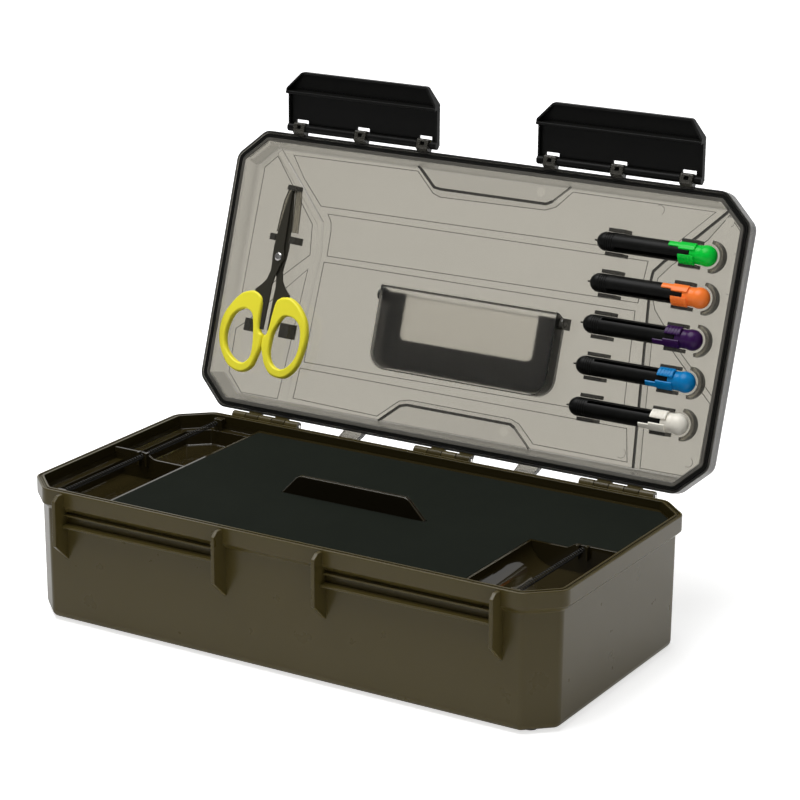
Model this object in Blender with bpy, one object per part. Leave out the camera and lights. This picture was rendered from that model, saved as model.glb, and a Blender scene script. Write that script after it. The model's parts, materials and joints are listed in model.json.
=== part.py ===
"""Tackle accessory box: a deep moulded box with a lift-out tray, and a see-through lid that holds
scissors, five retracting needle tools and a small bin.

The box stands along X, its hinge is at +Y, and it is shown with its lid open. Every size is in
metres. The rim's centre is the working origin, with the rim's top at height zero. At the end the
whole model moves up, so that the middle of its footprint is the origin.
"""

import math

import bmesh
import bpy
from mathutils import Vector

# Clearances that several pieces share
GAP = 0.0003
RUN_GAP = 0.0004
OVERLAP = 0.001
OVERRUN = 0.002

# Box: rim, flange, walls and floor
RIM_LENGTH = 0.370
RIM_WIDTH = 0.183
RIM_CUT_X = 0.0193
RIM_CUT_Y = 0.0181
RIM_CORNER_RADIUS = 0.009
RIM_THICKNESS = 0.0046
RIM_EDGE_ROUND = 0.0006
RIM_GROOVE_INSET = 0.0014
RIM_GROOVE_WIDTH = 0.0018
RIM_GROOVE_DEPTH = 0.0012
BOX_HEIGHT = 0.0850
FLANGE_HEIGHT = 0.0105
FLANGE_SLOPE = 0.0030
WALL_SETBACK = 0.0036
WALL_DRAFT = 0.0006
WALL_THICKNESS = 0.0024
BOTTOM_RADIUS = 0.0045
LEDGE_LEVEL = 0.0104
LEDGE_WIDTH = 0.0038
LEDGE_THICKNESS = 0.0020

# Gusset plates and the ledges that the latches catch under
RIB_PLACE_SHARES = (-0.818, -0.188, 0.188, 0.818)
RIB_THICKNESS = 0.0025
RIB_REACH = 0.0085
RIB_TOP = 0.0015
RIB_SHOULDER = 0.0045
RIB_FOOT = 0.0320
RIB_TAPER = 0.0100
CATCH_REACH = 0.0025
CATCH_LEVEL = 0.0175
CATCH_THICKNESS = 0.0045

# Feet
FOOT_RADIUS = 0.0045
FOOT_HEIGHT = 0.0015
FOOT_STEM_RADIUS = 0.0020
FOOT_STEM_HEIGHT = 0.0013
FOOT_MARGIN_X = 0.0210
FOOT_MARGIN_Y = 0.0170
FOOT_MIDDLE_SHARE = -0.254

# Hinge
AXIS_SETBACK = 0.0045
AXIS_DROP = 0.0009
LID_EDGE_BACK = 0.00335
LID_EDGE_RISE = 0.0014
LID_OPEN_ANGLE = math.radians(108.24)
KNUCKLE_RADIUS = 0.0029
KNUCKLE_PITCH = 0.0103
KNUCKLE_COUNTS = (5, 4, 5)
KNUCKLE_GROUP_SHARES = (-0.692, 0.033, 0.700)
PIN_RADIUS = 0.0011
PIN_PROUD = 0.0004
STOP_WIDTH = 0.0140
STOP_PLACE_SHARES = (-0.339, 0.357)
STOP_FOOT = 0.0022
STOP_ROOT = 0.0060

# Lift-out tray
TRAY_GAP = 0.0005
TRAY_TOP = 0.0055
TRAY_FLANGE_WIDTH = 0.0052
TRAY_BOTTOM = 0.0200
TRAY_WALL = 0.0016
TRAY_FLOOR = 0.0016
TRAY_DECK = 0.0088
TRAY_DECK_THICKNESS = 0.0018
LIP_LEVEL = 0.0046
LIP_WIDTH = 0.0014
SIDE_BAY_WIDTH = 0.0560
DIVIDER_THICKNESS = 0.0015
DIVIDER_PLACE_SHARE = 0.003
DIVIDER_HIGH_SHARE = 0.44
DIVIDER_LOW_SHARE = 0.57
WALL_HIGH = 0.0012
CORNER_BAY_LENGTH = 0.0545
CORNER_BAY_SHARE = -0.030
CORNER_HIGH_SHARE = 0.52
CORNER_LOW_SHARE = 0.42
SCOOP_RUN = 0.0165
SCOOP_STEPS = 5
HANDLE_BASE = 0.1010
HANDLE_TOP = 0.0770
HANDLE_RISE = 0.0126
HANDLE_THICKNESS = 0.0030
HANDLE_PLACE_SHARE = -0.079
HANDLE_X_SHARE = 0.0216
HANDLE_CORNER = 0.0070

# Foam sheet
FOAM_THICKNESS = 0.0040
FOAM_BACK_MARGIN = 0.0052

# Rig springs
SPRING_LEVEL = 0.0031
SPRING_RADIUS = 0.00155
SPRING_WIRE = 0.00036
SPRING_PITCH = 0.0036
CURL_POINTS = 8
SPRING_PLACE = 0.0285
POST_WIDTH = 0.0060
POST_THICKNESS = 0.0016
POST_TOP = 0.0010
BACK_POST_INSET = 0.0040

# Lid
LID_OVERHANG = 0.0010
LID_WIDTH = 0.1853
LID_DEPTH = 0.0155
LID_INNER_DEPTH = 0.0130
LID_ROUND = 0.0060
LID_RIM_WIDTH = 0.0066
LID_WALL_DRAFT = 0.0032
SEAL_INSET = 0.0015
SEAL_WIDTH = 0.0030
SEAL_POCKET = 0.0020
SEAL_PROUD = 0.0002

# Lid relief
RELIEF_HEIGHT = 0.0014
RELIEF_BASE = 0.1090
RELIEF_TOP = 0.0815
RELIEF_SPAN = 0.0135
RELIEF_EDGE = 0.0085
GROOVE_WIDTH = 0.0026
GROOVE_DEPTH = 0.0008
LEFT_GROOVE_SHARES = (
    (-0.865, 0.944), (-0.628, 0.709), (-0.624, 0.600), (-0.671, 0.189), (-0.687, 0.052),
)
RIGHT_GROOVE_SHARES = (
    (0.895, 0.953), (0.649, 0.713), (0.671, 0.414), (0.694, 0.149), (0.706, 0.052),
)

# Latches
LATCH_SIDE_GAP = 0.0004
LATCH_TILT = math.radians(18)
ROD_RADIUS = 0.0017
ROD_AHEAD = 0.0043
PLATE_OFFSET = 0.0014
PLATE_THICKNESS = 0.0018
HOOK_THICKNESS = 0.0018
HOOK_REACH = 0.0073
LIP_HEIGHT = 0.0122
LIP_FLARE = 0.0015
LIP_CUT = 0.0090
SIDE_RIB = 0.0014
CLIP_WIDTH = 0.0135
CLIP_WALL = 0.0014
CLIP_PLACE_SHARES = (-0.83, 0.0, 0.83)
NOTCH_GAP = 0.0006
NOTCH_REACH = 0.0026

# Needle tools
TOOL_COUNT = 5
TOOL_RADIUS = 0.0060
BALL_RADIUS = 0.0066
NECK_RADIUS = 0.0050
TOOL_LEVEL = 0.0060
TOOL_LENGTH = 0.0805
TOOL_END_MARGIN = 0.0211
TOOL_FIRST_SHARE = 0.2265
TOOL_LAST_SHARE = 0.7845
TOOL_SIDES = 12
NOSE_LENGTH = 0.0045
NOSE_RADIUS_SHARE = 0.62
CAP_LENGTH = 0.0165
CAP_SOCKET = 0.0030
TONGUE_LENGTH = 0.0135
TONGUE_WIDTH = 0.0036
TONGUE_THICKNESS = 0.0007
TONGUE_TURN = math.radians(85)
SLIDER_LENGTH = 0.0100
SLIDER_WIDTH = 0.0050
SLIDER_PROUD = 0.0009
SLIDER_TURN = math.radians(42)
SLIDER_RIBS = 4
SLOT_WIDTH = 0.0022
SLOT_END = 0.0090
SLIDER_BACK = 0.0060
BARREL_WALL = 0.0018
NEEDLE_RADIUS = 0.0006
NEEDLE_REACH = 0.0023
CARRIER_RADIUS = 0.0026
ARM_THICKNESS = 0.0014
ARM_HEIGHT = 0.0090
FRONT_ARM_START = 0.0061
FRONT_ARM_LENGTH = 0.0158
BACK_ARM_START = 0.0556
BACK_ARM_LENGTH = 0.0140
STOP_ARC_GAP = 0.0016
STOP_ARC_WALL = 0.0022
STOP_ARC_HEIGHT = 0.0060
STOP_ARC_ANGLE = math.radians(75)
STOP_ARC_STEPS = 8

# Tilting bin
BIN_SIDE_GAP = 0.0076
BIN_PLACE_SHARE = 0.0242
BIN_BOTTOM_SHARE = 0.232
BIN_HANDLE_GAP = 0.0013
BIN_FRONT = 0.0010
BIN_BACK_GAP = 0.0006
BIN_WALL = 0.0015
BIN_CORNER = 0.0120
BIN_CORNER_STEPS = 4
BIN_MOUTH_DROP = 0.0120
PIVOT_DROP = 0.0065
PIVOT_LEVEL = 0.0050
PIVOT_RADIUS = 0.0018
EAR_RADIUS = 0.0045
EAR_THICKNESS = 0.0045
EAR_PIN_PROUD = 0.0010

# Scissors
SCISSORS_LENGTH = 0.1272
SCISSORS_END_MARGIN = 0.0423
SCISSORS_T_SHARE = 0.4746
SCISSORS_LEVEL = 0.0052
SCISSORS_TILT = math.radians(-2.0)
BLADE_THICKNESS = 0.0014
BLADE_HALF_WIDTH = 0.0052
PIVOT_SHARE = 0.626
TANG_WIDTH = 0.0036
TANG_DEPTH_SHARE = 0.80
RIVET_RADIUS = 0.0026
RIVET_SHANK = 0.0014
RIVET_HEAD = 0.0008
RIVET_DOME_SHARE = 0.6
LOOP_THICKNESS = 0.0066
LOOP_ROUND = 0.0016
LOOP_WIDTH = 0.0320
LOOP_LENGTH = 0.0560
SHEATH_WALL = 0.0010
SHEATH_START_SHARE = 0.75
SHEATH_GAP = 0.0016
SHEATH_LEVEL = 0.0030
HOLD_WIDTH = 0.0055
HOLD_LEVEL = 0.0030
BLADE_HOLD_SHARES = (0.705, 0.745)
LOOP_HOLD_SHARES = (0.50, 0.67)
LOOP_HOLD_START = 0.0125
SHEATH_WIDTH_SHARES = (1.0, 0.8, 0.35)
BLADE_SHARES = ((1.00, 0.0), (0.93, 0.45), (0.80, 0.90), (0.68, 1.0))
LOOP_OUTER_SHARES = (
    (0.16, 1.00), (0.42, 1.03), (0.66, 0.92), (0.88, 0.72), (1.00, 0.44), (0.96, 0.20),
    (0.78, 0.02), (0.54, -0.02), (0.32, 0.06), (0.20, 0.22), (0.10, 0.32), (0.02, 0.40), (0.04, 0.70),
)
LOOP_INNER_SHARES = (
    (0.36, 0.72), (0.58, 0.75), (0.74, 0.62), (0.84, 0.42), (0.82, 0.22),
    (0.68, 0.12), (0.52, 0.12), (0.38, 0.24), (0.30, 0.48),
)

# Colours, roughness and metallic values
OLIVE = ((0.068, 0.053, 0.030), 0.32, 0.0)
CHARCOAL = ((0.020, 0.021, 0.018), 0.95, 0.0)
BLACK = ((0.010, 0.010, 0.009), 0.42, 0.0)
SMOKE = ((0.22, 0.21, 0.18), 0.15, 0.0)
DARK_SEAL = ((0.022, 0.023, 0.021), 0.60, 0.0)
STEEL = ((0.60, 0.59, 0.57), 0.28, 1.0)
DARK_STEEL = ((0.030, 0.030, 0.028), 0.30, 1.0)
YELLOW = ((0.80, 0.78, 0.02), 0.40, 0.0)
RUBBER = ((0.015, 0.015, 0.014), 0.85, 0.0)
TOOL_COLOURS = (
    ("white", (0.85, 0.82, 0.76)),
    ("blue", (0.006, 0.17, 0.62)),
    ("purple", (0.045, 0.008, 0.10)),
    ("orange", (1.0, 0.13, 0.02)),
    ("green", (0.0, 0.60, 0.06)),
)

# Sizes that follow from the ones above
HALF_LENGTH = RIM_LENGTH / 2
HALF_WIDTH = RIM_WIDTH / 2
AXIS_Y = HALF_WIDTH + AXIS_SETBACK
AXIS_Z = -AXIS_DROP
LID_LENGTH = RIM_LENGTH + 2 * LID_OVERHANG
LID_HALF = LID_LENGTH / 2
BORE_RADIUS = PIN_RADIUS + GAP
CATCH_BOTTOM = CATCH_LEVEL + CATCH_THICKNESS
DECK_LEVEL = TRAY_DECK
INNER_INSET = RIM_THICKNESS + TRAY_GAP
BAY_INSET = INNER_INSET + TRAY_WALL
SHELF_LEVEL = LEDGE_LEVEL - GAP
STEP_LEVEL = SHELF_LEVEL - TRAY_WALL
BODY_INSET = INNER_INSET + TRAY_FLANGE_WIDTH
FLOOR_LEVEL = TRAY_BOTTOM - TRAY_FLOOR
LEFT_WALL_X = -HALF_LENGTH + RIM_THICKNESS + SIDE_BAY_WIDTH
CORNER_BAY_Y = CORNER_BAY_SHARE * HALF_WIDTH
CORNER_BAY_X = HALF_LENGTH - BAY_INSET - CORNER_BAY_LENGTH
DIVIDER_Y = DIVIDER_PLACE_SHARE * HALF_WIDTH
HANDLE_X = HANDLE_X_SHARE * HALF_LENGTH
HANDLE_Y = HANDLE_PLACE_SHARE * HALF_WIDTH
SPRING_X = HALF_LENGTH - SPRING_PLACE
ROD_T = LID_WIDTH + ROD_AHEAD
HOOK_TOP = CATCH_BOTTOM + LID_EDGE_RISE - AXIS_DROP + GAP
TOOL_END = LID_HALF - TOOL_END_MARGIN
TOOL_START = TOOL_END - TOOL_LENGTH
BARREL_END = TOOL_LENGTH - CAP_LENGTH
SLIDER_FRONT = BARREL_END - SLIDER_BACK
BIN_X = BIN_PLACE_SHARE * LID_HALF
BIN_HALF = TOOL_START - NEEDLE_REACH - BIN_SIDE_GAP - EAR_THICKNESS - EAR_PIN_PROUD - BIN_X
HANDLE_T = AXIS_Y - LID_EDGE_BACK - HANDLE_Y
BIN_TOP = HANDLE_T - HANDLE_THICKNESS / 2 - BIN_HANDLE_GAP
BIN_BOTTOM = BIN_BOTTOM_SHARE * LID_WIDTH
BIN_BACK = LID_INNER_DEPTH - BIN_BACK_GAP
PIVOT_T = BIN_TOP - PIVOT_DROP
SCISSORS_X = SCISSORS_END_MARGIN - LID_HALF
SCISSORS_T = SCISSORS_T_SHARE * LID_WIDTH

ARC_STEPS = 2
ROUND_SIDES = 12
SMOOTH_ANGLE = math.radians(35)


def clear_scene():
    for thing in list(bpy.data.objects):
        bpy.data.objects.remove(thing, do_unlink=True)


def material(name, look):
    colour, roughness, metallic = look
    made = bpy.data.materials.new(name)
    made.use_nodes = True
    shader = made.node_tree.nodes["Principled BSDF"]
    shader.inputs["Base Color"].default_value = (*colour, 1.0)
    shader.inputs["Roughness"].default_value = roughness
    shader.inputs["Metallic"].default_value = metallic
    return made


def empty(name, place, parent=None, turn=(0, 0, 0)):
    made = bpy.data.objects.new(name, None)
    bpy.context.scene.collection.objects.link(made)
    made.location = place
    made.rotation_euler = turn
    made.parent = parent
    return made


def solid(name, mesh_maker, look=None, parent=None):
    """An object whose closed mesh mesh_maker draws into an empty bmesh."""
    mesh = bpy.data.meshes.new(name)
    bm = bmesh.new()
    mesh_maker(bm)
    bmesh.ops.recalc_face_normals(bm, faces=bm.faces)
    bm.to_mesh(mesh)
    bm.free()
    made = bpy.data.objects.new(name, mesh)
    bpy.context.scene.collection.objects.link(made)
    made.parent = parent
    if look is not None:
        mesh.materials.append(look)
    return made


def smooth(made):
    made.data.shade_smooth()
    made.data.set_sharp_from_angle(angle=SMOOTH_ANGLE)
    return made


def combine(made, operation, mesh_makers):
    """Cuts or joins each drawn shape with made's mesh, in made's own space."""
    parent = made.parent
    made.parent = None
    helpers = []
    for number, mesh_maker in enumerate(mesh_makers):
        helper = solid(f"{made.name}_helper_{number}", mesh_maker)
        modifier = made.modifiers.new(operation.title(), "BOOLEAN")
        modifier.operation = operation
        modifier.solver = "EXACT"
        modifier.object = helper
        helpers.append(helper)
    bpy.context.view_layer.update()
    graph = bpy.context.evaluated_depsgraph_get()
    old = made.data
    baked = bpy.data.meshes.new_from_object(made.evaluated_get(graph))
    made.modifiers.clear()
    made.data = baked
    bpy.data.meshes.remove(old)
    baked.name = made.name
    for helper in helpers:
        mesh = helper.data
        bpy.data.objects.remove(helper, do_unlink=True)
        bpy.data.meshes.remove(mesh)
    made.parent = parent


def join(made, *mesh_makers):
    combine(made, "UNION", mesh_makers)


def cut(made, *mesh_makers):
    combine(made, "DIFFERENCE", mesh_makers)


def fillet(points, radius, steps):
    """A closed outline whose corners are replaced by arcs; radius may be one value a corner."""
    radii = radius if isinstance(radius, (list, tuple)) else [radius] * len(points)
    rounded = []
    count = len(points)
    for index, corner in enumerate(points):
        corner = Vector(corner)
        back = (Vector(points[index - 1]) - corner).normalized()
        ahead = (Vector(points[(index + 1) % count]) - corner).normalized()
        if radii[index] <= 0:
            rounded.append(tuple(corner))
            continue
        half = back.angle(ahead) / 2
        middle = (back + ahead).normalized()
        centre = corner + middle * (radii[index] / math.sin(half))
        first = corner + back * (radii[index] / math.tan(half)) - centre
        last = corner + ahead * (radii[index] / math.tan(half)) - centre
        sweep = first.angle(last)
        for step in range(steps + 1):
            share = step / steps
            left = math.sin((1 - share) * sweep) / math.sin(sweep)
            right = math.sin(share * sweep) / math.sin(sweep)
            rounded.append(tuple(centre + first * left + last * right))
    return rounded


def octagon(half_x, half_y, cut_x, cut_y, radius, inset):
    """A rectangle with cut corners, drawn in by inset, its eight bends rounded."""
    slope = math.hypot(cut_x, cut_y)
    lean_x = cut_y / slope
    lean_y = cut_x / slope
    new_cut_y = cut_y - inset + inset * (1 - lean_x) / lean_y
    new_cut_x = cut_x - inset + inset * (1 - lean_y) / lean_x
    x = half_x - inset
    y = half_y - inset
    near_x = x - new_cut_x
    near_y = y - new_cut_y
    points = [
        (near_x, -y), (x, -near_y), (x, near_y), (near_x, y),
        (-near_x, y), (-x, near_y), (-x, -near_y), (-near_x, -y),
    ]
    return fillet(points, max(radius - inset, radius / 4), ARC_STEPS)


def rim_ring(inset, z):
    outline = octagon(HALF_LENGTH, HALF_WIDTH, RIM_CUT_X, RIM_CUT_Y, RIM_CORNER_RADIUS, inset)
    return [(x, y, z) for x, y in outline]


def lid_ring(inset, depth):
    """A ring of the closed lid, round the hinge axis: t runs from the hinge to the front edge."""
    outline = octagon(LID_HALF, LID_WIDTH / 2, RIM_CUT_X, RIM_CUT_Y, RIM_CORNER_RADIUS, inset)
    return [lid_point(x, LID_WIDTH / 2 - y, depth) for x, y in outline]


def lid_point(x, t, depth):
    """A place in the lid: t from its hinge edge, depth from its rim towards its outer face."""
    return (x, -LID_EDGE_BACK - t, LID_EDGE_RISE + depth)


def draw_loft(bm, rings):
    """Skins a stack of rings of equal counts and closes its first and last ring."""
    stack = [[bm.verts.new(point) for point in ring] for ring in rings]
    for low, high in zip(stack, stack[1:]):
        count = len(low)
        for index in range(count):
            after = (index + 1) % count
            bm.faces.new((low[index], low[after], high[after], high[index]))
    bm.faces.new(reversed(stack[0]))
    bm.faces.new(stack[-1])


def loft(*rings):
    return lambda bm: draw_loft(bm, rings)


def draw_belt(bm, rings):
    """Skins a closed chain of rings, as for a seal."""
    stack = [[bm.verts.new(point) for point in ring] for ring in rings]
    for low, high in zip(stack, stack[1:] + stack[:1]):
        count = len(low)
        for index in range(count):
            after = (index + 1) % count
            bm.faces.new((low[index], low[after], high[after], high[index]))


def belt(*rings):
    return lambda bm: draw_belt(bm, rings)


def bar(low, high):
    """A block between two opposite corners."""
    (x0, y0, z0), (x1, y1, z1) = low, high
    ring = ((x0, y0), (x1, y0), (x1, y1), (x0, y1))
    return loft([(x, y, z0) for x, y in ring], [(x, y, z1) for x, y in ring])


def lid_bar(low, high):
    """A block between two corners given as x, t and depth."""
    return bar(lid_point(*low), lid_point(*high))


def prism_x(outline, x0, x1):
    """An outline of (y, z) points, drawn out along X."""
    return loft([(x0, y, z) for y, z in outline], [(x1, y, z) for y, z in outline])


def prism_y(outline, y0, y1):
    """An outline of (x, z) points, drawn out along Y."""
    return loft([(x, y0, z) for x, z in outline], [(x, y1, z) for x, z in outline])


def prism_z(outline, z0, z1):
    """An outline of (x, y) points, drawn out along Z."""
    return loft([(x, y, z0) for x, y in outline], [(x, y, z1) for x, y in outline])


def lid_prism(outline, depth0, depth1):
    """An outline of (x, t) points, drawn out through the lid's depth."""
    return loft(
        [lid_point(x, t, depth0) for x, t in outline],
        [lid_point(x, t, depth1) for x, t in outline],
    )


def circle(radius, sides):
    angles = [math.tau * step / sides for step in range(sides)]
    return [(radius * math.cos(angle), radius * math.sin(angle)) for angle in angles]


def rod_x(y, z, x0, x1, radius, sides=ROUND_SIDES):
    ring = circle(radius, sides)
    return loft([(x0, y + a, z + b) for a, b in ring], [(x1, y + a, z + b) for a, b in ring])


def rod_z(x, y, z0, z1, radius, sides=ROUND_SIDES):
    ring = circle(radius, sides)
    return loft([(x + a, y + b, z0) for a, b in ring], [(x + a, y + b, z1) for a, b in ring])


def turned_x(profile, x, y, z, sides):
    """A solid of revolution along X: profile lists distances along X with their radii."""
    rings = []
    for along, radius in profile:
        rings.append([(x + along, y + a, z + b) for a, b in circle(radius, sides)])
    return loft(*rings)


def many(*mesh_makers):
    """Several separate shapes as one mesh."""
    def draw(bm):
        for mesh_maker in mesh_makers:
            mesh_maker(bm)
    return draw


# Box


def wall_inset(z):
    """How far the outer wall stands in from the rim's outline at a height below the flange."""
    top = FLANGE_HEIGHT + FLANGE_SLOPE
    share = (-z - top) / (BOX_HEIGHT - top)
    return WALL_SETBACK + WALL_DRAFT * share


def make_base(look, root):
    floor = -BOX_HEIGHT + WALL_THICKNESS
    groove_out = RIM_GROOVE_INSET
    groove_in = RIM_GROOVE_INSET + RIM_GROOVE_WIDTH
    bend = BOTTOM_RADIUS * (1 - math.sqrt(0.5))
    bottom = wall_inset(-BOX_HEIGHT)
    slope_low = -FLANGE_HEIGHT - FLANGE_SLOPE
    inner_low = wall_inset(floor) + WALL_THICKNESS
    wall = WALL_SETBACK + WALL_THICKNESS
    ledge = RIM_THICKNESS + LEDGE_WIDTH
    ledge_low = -LEDGE_LEVEL - LEDGE_THICKNESS
    made = solid("base_shell", loft(
        rim_ring(bottom + BOTTOM_RADIUS, -BOX_HEIGHT),
        rim_ring(bottom + bend, -BOX_HEIGHT + bend),
        rim_ring(bottom, -BOX_HEIGHT + BOTTOM_RADIUS),
        rim_ring(WALL_SETBACK, slope_low),
        rim_ring(RIM_EDGE_ROUND, -FLANGE_HEIGHT),
        rim_ring(0, -FLANGE_HEIGHT + RIM_EDGE_ROUND),
        rim_ring(0, -RIM_EDGE_ROUND),
        rim_ring(RIM_EDGE_ROUND, 0),
        rim_ring(groove_out, 0),
        rim_ring(groove_out, -RIM_GROOVE_DEPTH),
        rim_ring(groove_in, -RIM_GROOVE_DEPTH),
        rim_ring(groove_in, 0),
        rim_ring(RIM_THICKNESS, 0),
        rim_ring(RIM_THICKNESS, -LEDGE_LEVEL),
        rim_ring(ledge, -LEDGE_LEVEL),
        rim_ring(ledge, ledge_low),
        rim_ring(wall, ledge_low - ledge + wall),
        rim_ring(inner_low, floor + BOTTOM_RADIUS / 2),
        rim_ring(inner_low + BOTTOM_RADIUS / 2, floor),
    ), look, root)
    join(made, *[rib(centre) for centre in rib_places()])
    join(made, *catches())
    join(made, *base_knuckles())
    cut(made, *[pin_bore(start, end) for start, end in knuckle_groups()])
    cut(made, many(*[
        rod_z(x, y, -BOX_HEIGHT - OVERRUN, -BOX_HEIGHT + FOOT_STEM_HEIGHT + GAP, FOOT_STEM_RADIUS + GAP)
        for x, y in foot_places()
    ]))
    return made


def rib_places():
    return [share * HALF_LENGTH for share in RIB_PLACE_SHARES]


def rib(x):
    """A gusset plate that stands out in front of the flange and runs back into the wall."""
    front = -HALF_WIDTH - RIB_REACH
    wall = -HALF_WIDTH + WALL_SETBACK + OVERLAP
    flange = -HALF_WIDTH + OVERLAP
    outline = (
        (flange, -RIB_TOP), (-HALF_WIDTH - OVERLAP, -RIB_TOP), (front, -RIB_SHOULDER),
        (front, -RIB_FOOT), (wall, -RIB_FOOT - RIB_TAPER),
        (wall, -FLANGE_HEIGHT - FLANGE_SLOPE), (flange, -FLANGE_HEIGHT + OVERLAP),
    )
    return prism_x(outline, x - RIB_THICKNESS / 2, x + RIB_THICKNESS / 2)


def catches():
    """A ledge between each pair of gusset plates."""
    places = rib_places()
    front = -HALF_WIDTH - CATCH_REACH
    wall = -HALF_WIDTH + WALL_SETBACK + OVERLAP
    return [
        bar((left, front, -CATCH_BOTTOM), (right, wall, -CATCH_LEVEL))
        for left, right in (places[:2], places[2:])
    ]


def foot_places():
    x = HALF_LENGTH - FOOT_MARGIN_X
    y = HALF_WIDTH - FOOT_MARGIN_Y
    middle = FOOT_MIDDLE_SHARE * HALF_LENGTH
    return [(px, py) for px in (-x, middle, x) for py in (-y, y)]


def make_feet(look, root):
    """Six small pads; each has a stem that plugs into the floor."""
    top = -BOX_HEIGHT - GAP
    low = -BOX_HEIGHT - FOOT_HEIGHT
    stem = -BOX_HEIGHT + FOOT_STEM_HEIGHT
    wide = circle(FOOT_RADIUS, ROUND_SIDES)
    thin = circle(FOOT_STEM_RADIUS, ROUND_SIDES)
    for number, (x, y) in enumerate(foot_places(), 1):
        stack = ((wide, low), (wide, top), (thin, top), (thin, stem))
        smooth(solid(f"foot_{number}", loft(*[
            [(x + a, y + b, z) for a, b in ring] for ring, z in stack
        ]), look, root))


# Hinge


def knuckle_groups():
    """The two ends of each row of knuckles."""
    groups = []
    for share, count in zip(KNUCKLE_GROUP_SHARES, KNUCKLE_COUNTS):
        length = count * KNUCKLE_PITCH
        start = share * HALF_LENGTH - length / 2
        groups.append((start, start + length))
    return groups


def knuckle_slots(first):
    """The X ranges of every second knuckle, counted from first."""
    slots = []
    for (start, _), count in zip(knuckle_groups(), KNUCKLE_COUNTS):
        for number in range(first, count, 2):
            low = start + number * KNUCKLE_PITCH
            slots.append((low + RUN_GAP / 2, low + KNUCKLE_PITCH - RUN_GAP / 2))
    return slots


def base_knuckles():
    """Knuckles on the box; below the axis each runs forward into the flange."""
    root_y = -AXIS_SETBACK - OVERLAP
    nose = []
    for step in range(ROUND_SIDES - ROUND_SIDES // 4 + 1):
        angle = -math.pi / 2 + math.tau * step / ROUND_SIDES
        nose.append((KNUCKLE_RADIUS * math.cos(angle), KNUCKLE_RADIUS * math.sin(angle)))
    outline = nose + [(root_y, 0), (root_y, -KNUCKLE_RADIUS)]
    placed = [(AXIS_Y + y, AXIS_Z + z) for y, z in outline]
    return [prism_x(placed, low, high) for low, high in knuckle_slots(0)]


def pin_bore(start, end):
    return rod_x(AXIS_Y, AXIS_Z, start - OVERRUN, end + OVERRUN, BORE_RADIUS)


def make_pins(look, root):
    for word, (start, end) in zip(("left", "middle", "right"), knuckle_groups()):
        pin = rod_x(AXIS_Y, AXIS_Z, start - PIN_PROUD, end + PIN_PROUD, PIN_RADIUS)
        smooth(solid(f"hinge_pin_{word}", pin, look, root))


def lid_knuckles():
    """Knuckles on the lid; above the axis each runs forward into the lid's rim."""
    root_y = -LID_EDGE_BACK - OVERLAP
    nose = []
    for step in range(ROUND_SIDES - ROUND_SIDES // 4 + 1):
        angle = math.pi / 2 - math.tau * step / ROUND_SIDES
        nose.append((KNUCKLE_RADIUS * math.cos(angle), KNUCKLE_RADIUS * math.sin(angle)))
    top = LID_EDGE_RISE + KNUCKLE_RADIUS
    outline = nose + [(-KNUCKLE_RADIUS, LID_EDGE_RISE), (root_y, LID_EDGE_RISE), (root_y, top)]
    return [prism_x(outline, low, high) for low, high in knuckle_slots(1)]


# Lift-out tray


def bay_prism(z0, z1, inset):
    """A slab that fills the space inside the tray's outer wall."""
    return loft(rim_ring(inset, z0), rim_ring(inset, z1))


def bay_space():
    """The space inside the tray's wall, which steps out where the tray's flange rests."""
    low = BODY_INSET + TRAY_WALL
    return loft(
        rim_ring(low, -FLOOR_LEVEL), rim_ring(low, -STEP_LEVEL),
        rim_ring(BAY_INSET, -STEP_LEVEL), rim_ring(BAY_INSET, OVERRUN),
    )


def clipped(name, first, second):
    """The part that two shapes share, as a mesh maker."""
    made = solid(name, first)
    combine(made, "INTERSECT", [second])
    bm = bmesh.new()
    bm.from_mesh(made.data)
    corners = [tuple(vertex.co) for vertex in bm.verts]
    faces = [[vertex.index for vertex in face.verts] for face in bm.faces]
    bm.free()
    mesh = made.data
    bpy.data.objects.remove(made, do_unlink=True)
    bpy.data.meshes.remove(mesh)

    def draw(target):
        verts = [target.verts.new(corner) for corner in corners]
        for face in faces:
            target.faces.new([verts[index] for index in face])
    return draw


def scoop_outline():
    """The corner bay's section: a hollow ramp on its left, then the flat floor."""
    far = RIM_LENGTH
    points = [(CORNER_BAY_X, RIM_WIDTH), (CORNER_BAY_X, -LIP_LEVEL)]
    drop = FLOOR_LEVEL - LIP_LEVEL
    for step in range(1, SCOOP_STEPS + 1):
        angle = math.pi / 2 * step / SCOOP_STEPS
        points.append((
            CORNER_BAY_X + SCOOP_RUN * (1 - math.cos(angle)),
            -LIP_LEVEL - drop * math.sin(angle),
        ))
    return points + [(far, -FLOOR_LEVEL), (far, RIM_WIDTH)]


def wall_profile(x0, x1, high_first, share_high, share_low):
    """A wall's top line between x0 and x1 that steps from a high level to a low one."""
    length = x1 - x0
    low = -LIP_LEVEL - GAP
    turn_high = x0 + share_high * length
    turn_low = x0 + share_low * length
    if high_first:
        return [(x0, -WALL_HIGH), (turn_high, -WALL_HIGH), (turn_low, low), (x1, low)]
    return [(x0, low), (turn_low, low), (turn_high, -WALL_HIGH), (x1, -WALL_HIGH)]


def standing_wall(top, y0, y1):
    """A wall under a top line; where it meets the tray's flange its foot stays on the step."""
    low = -FLOOR_LEVEL - TRAY_FLOOR / 2
    step = -STEP_LEVEL - TRAY_WALL / 2
    body = HALF_LENGTH - BODY_INSET - TRAY_WALL / 2
    left, right = top[0][0], top[-1][0]
    foot_left = [(-body, low), (-body, step), (left, step)] if left < -body else [(left, low)]
    foot_right = [(right, step), (body, step), (body, low)] if right > body else [(right, low)]
    return prism_y(foot_left + top + foot_right, y0, y1)


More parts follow.
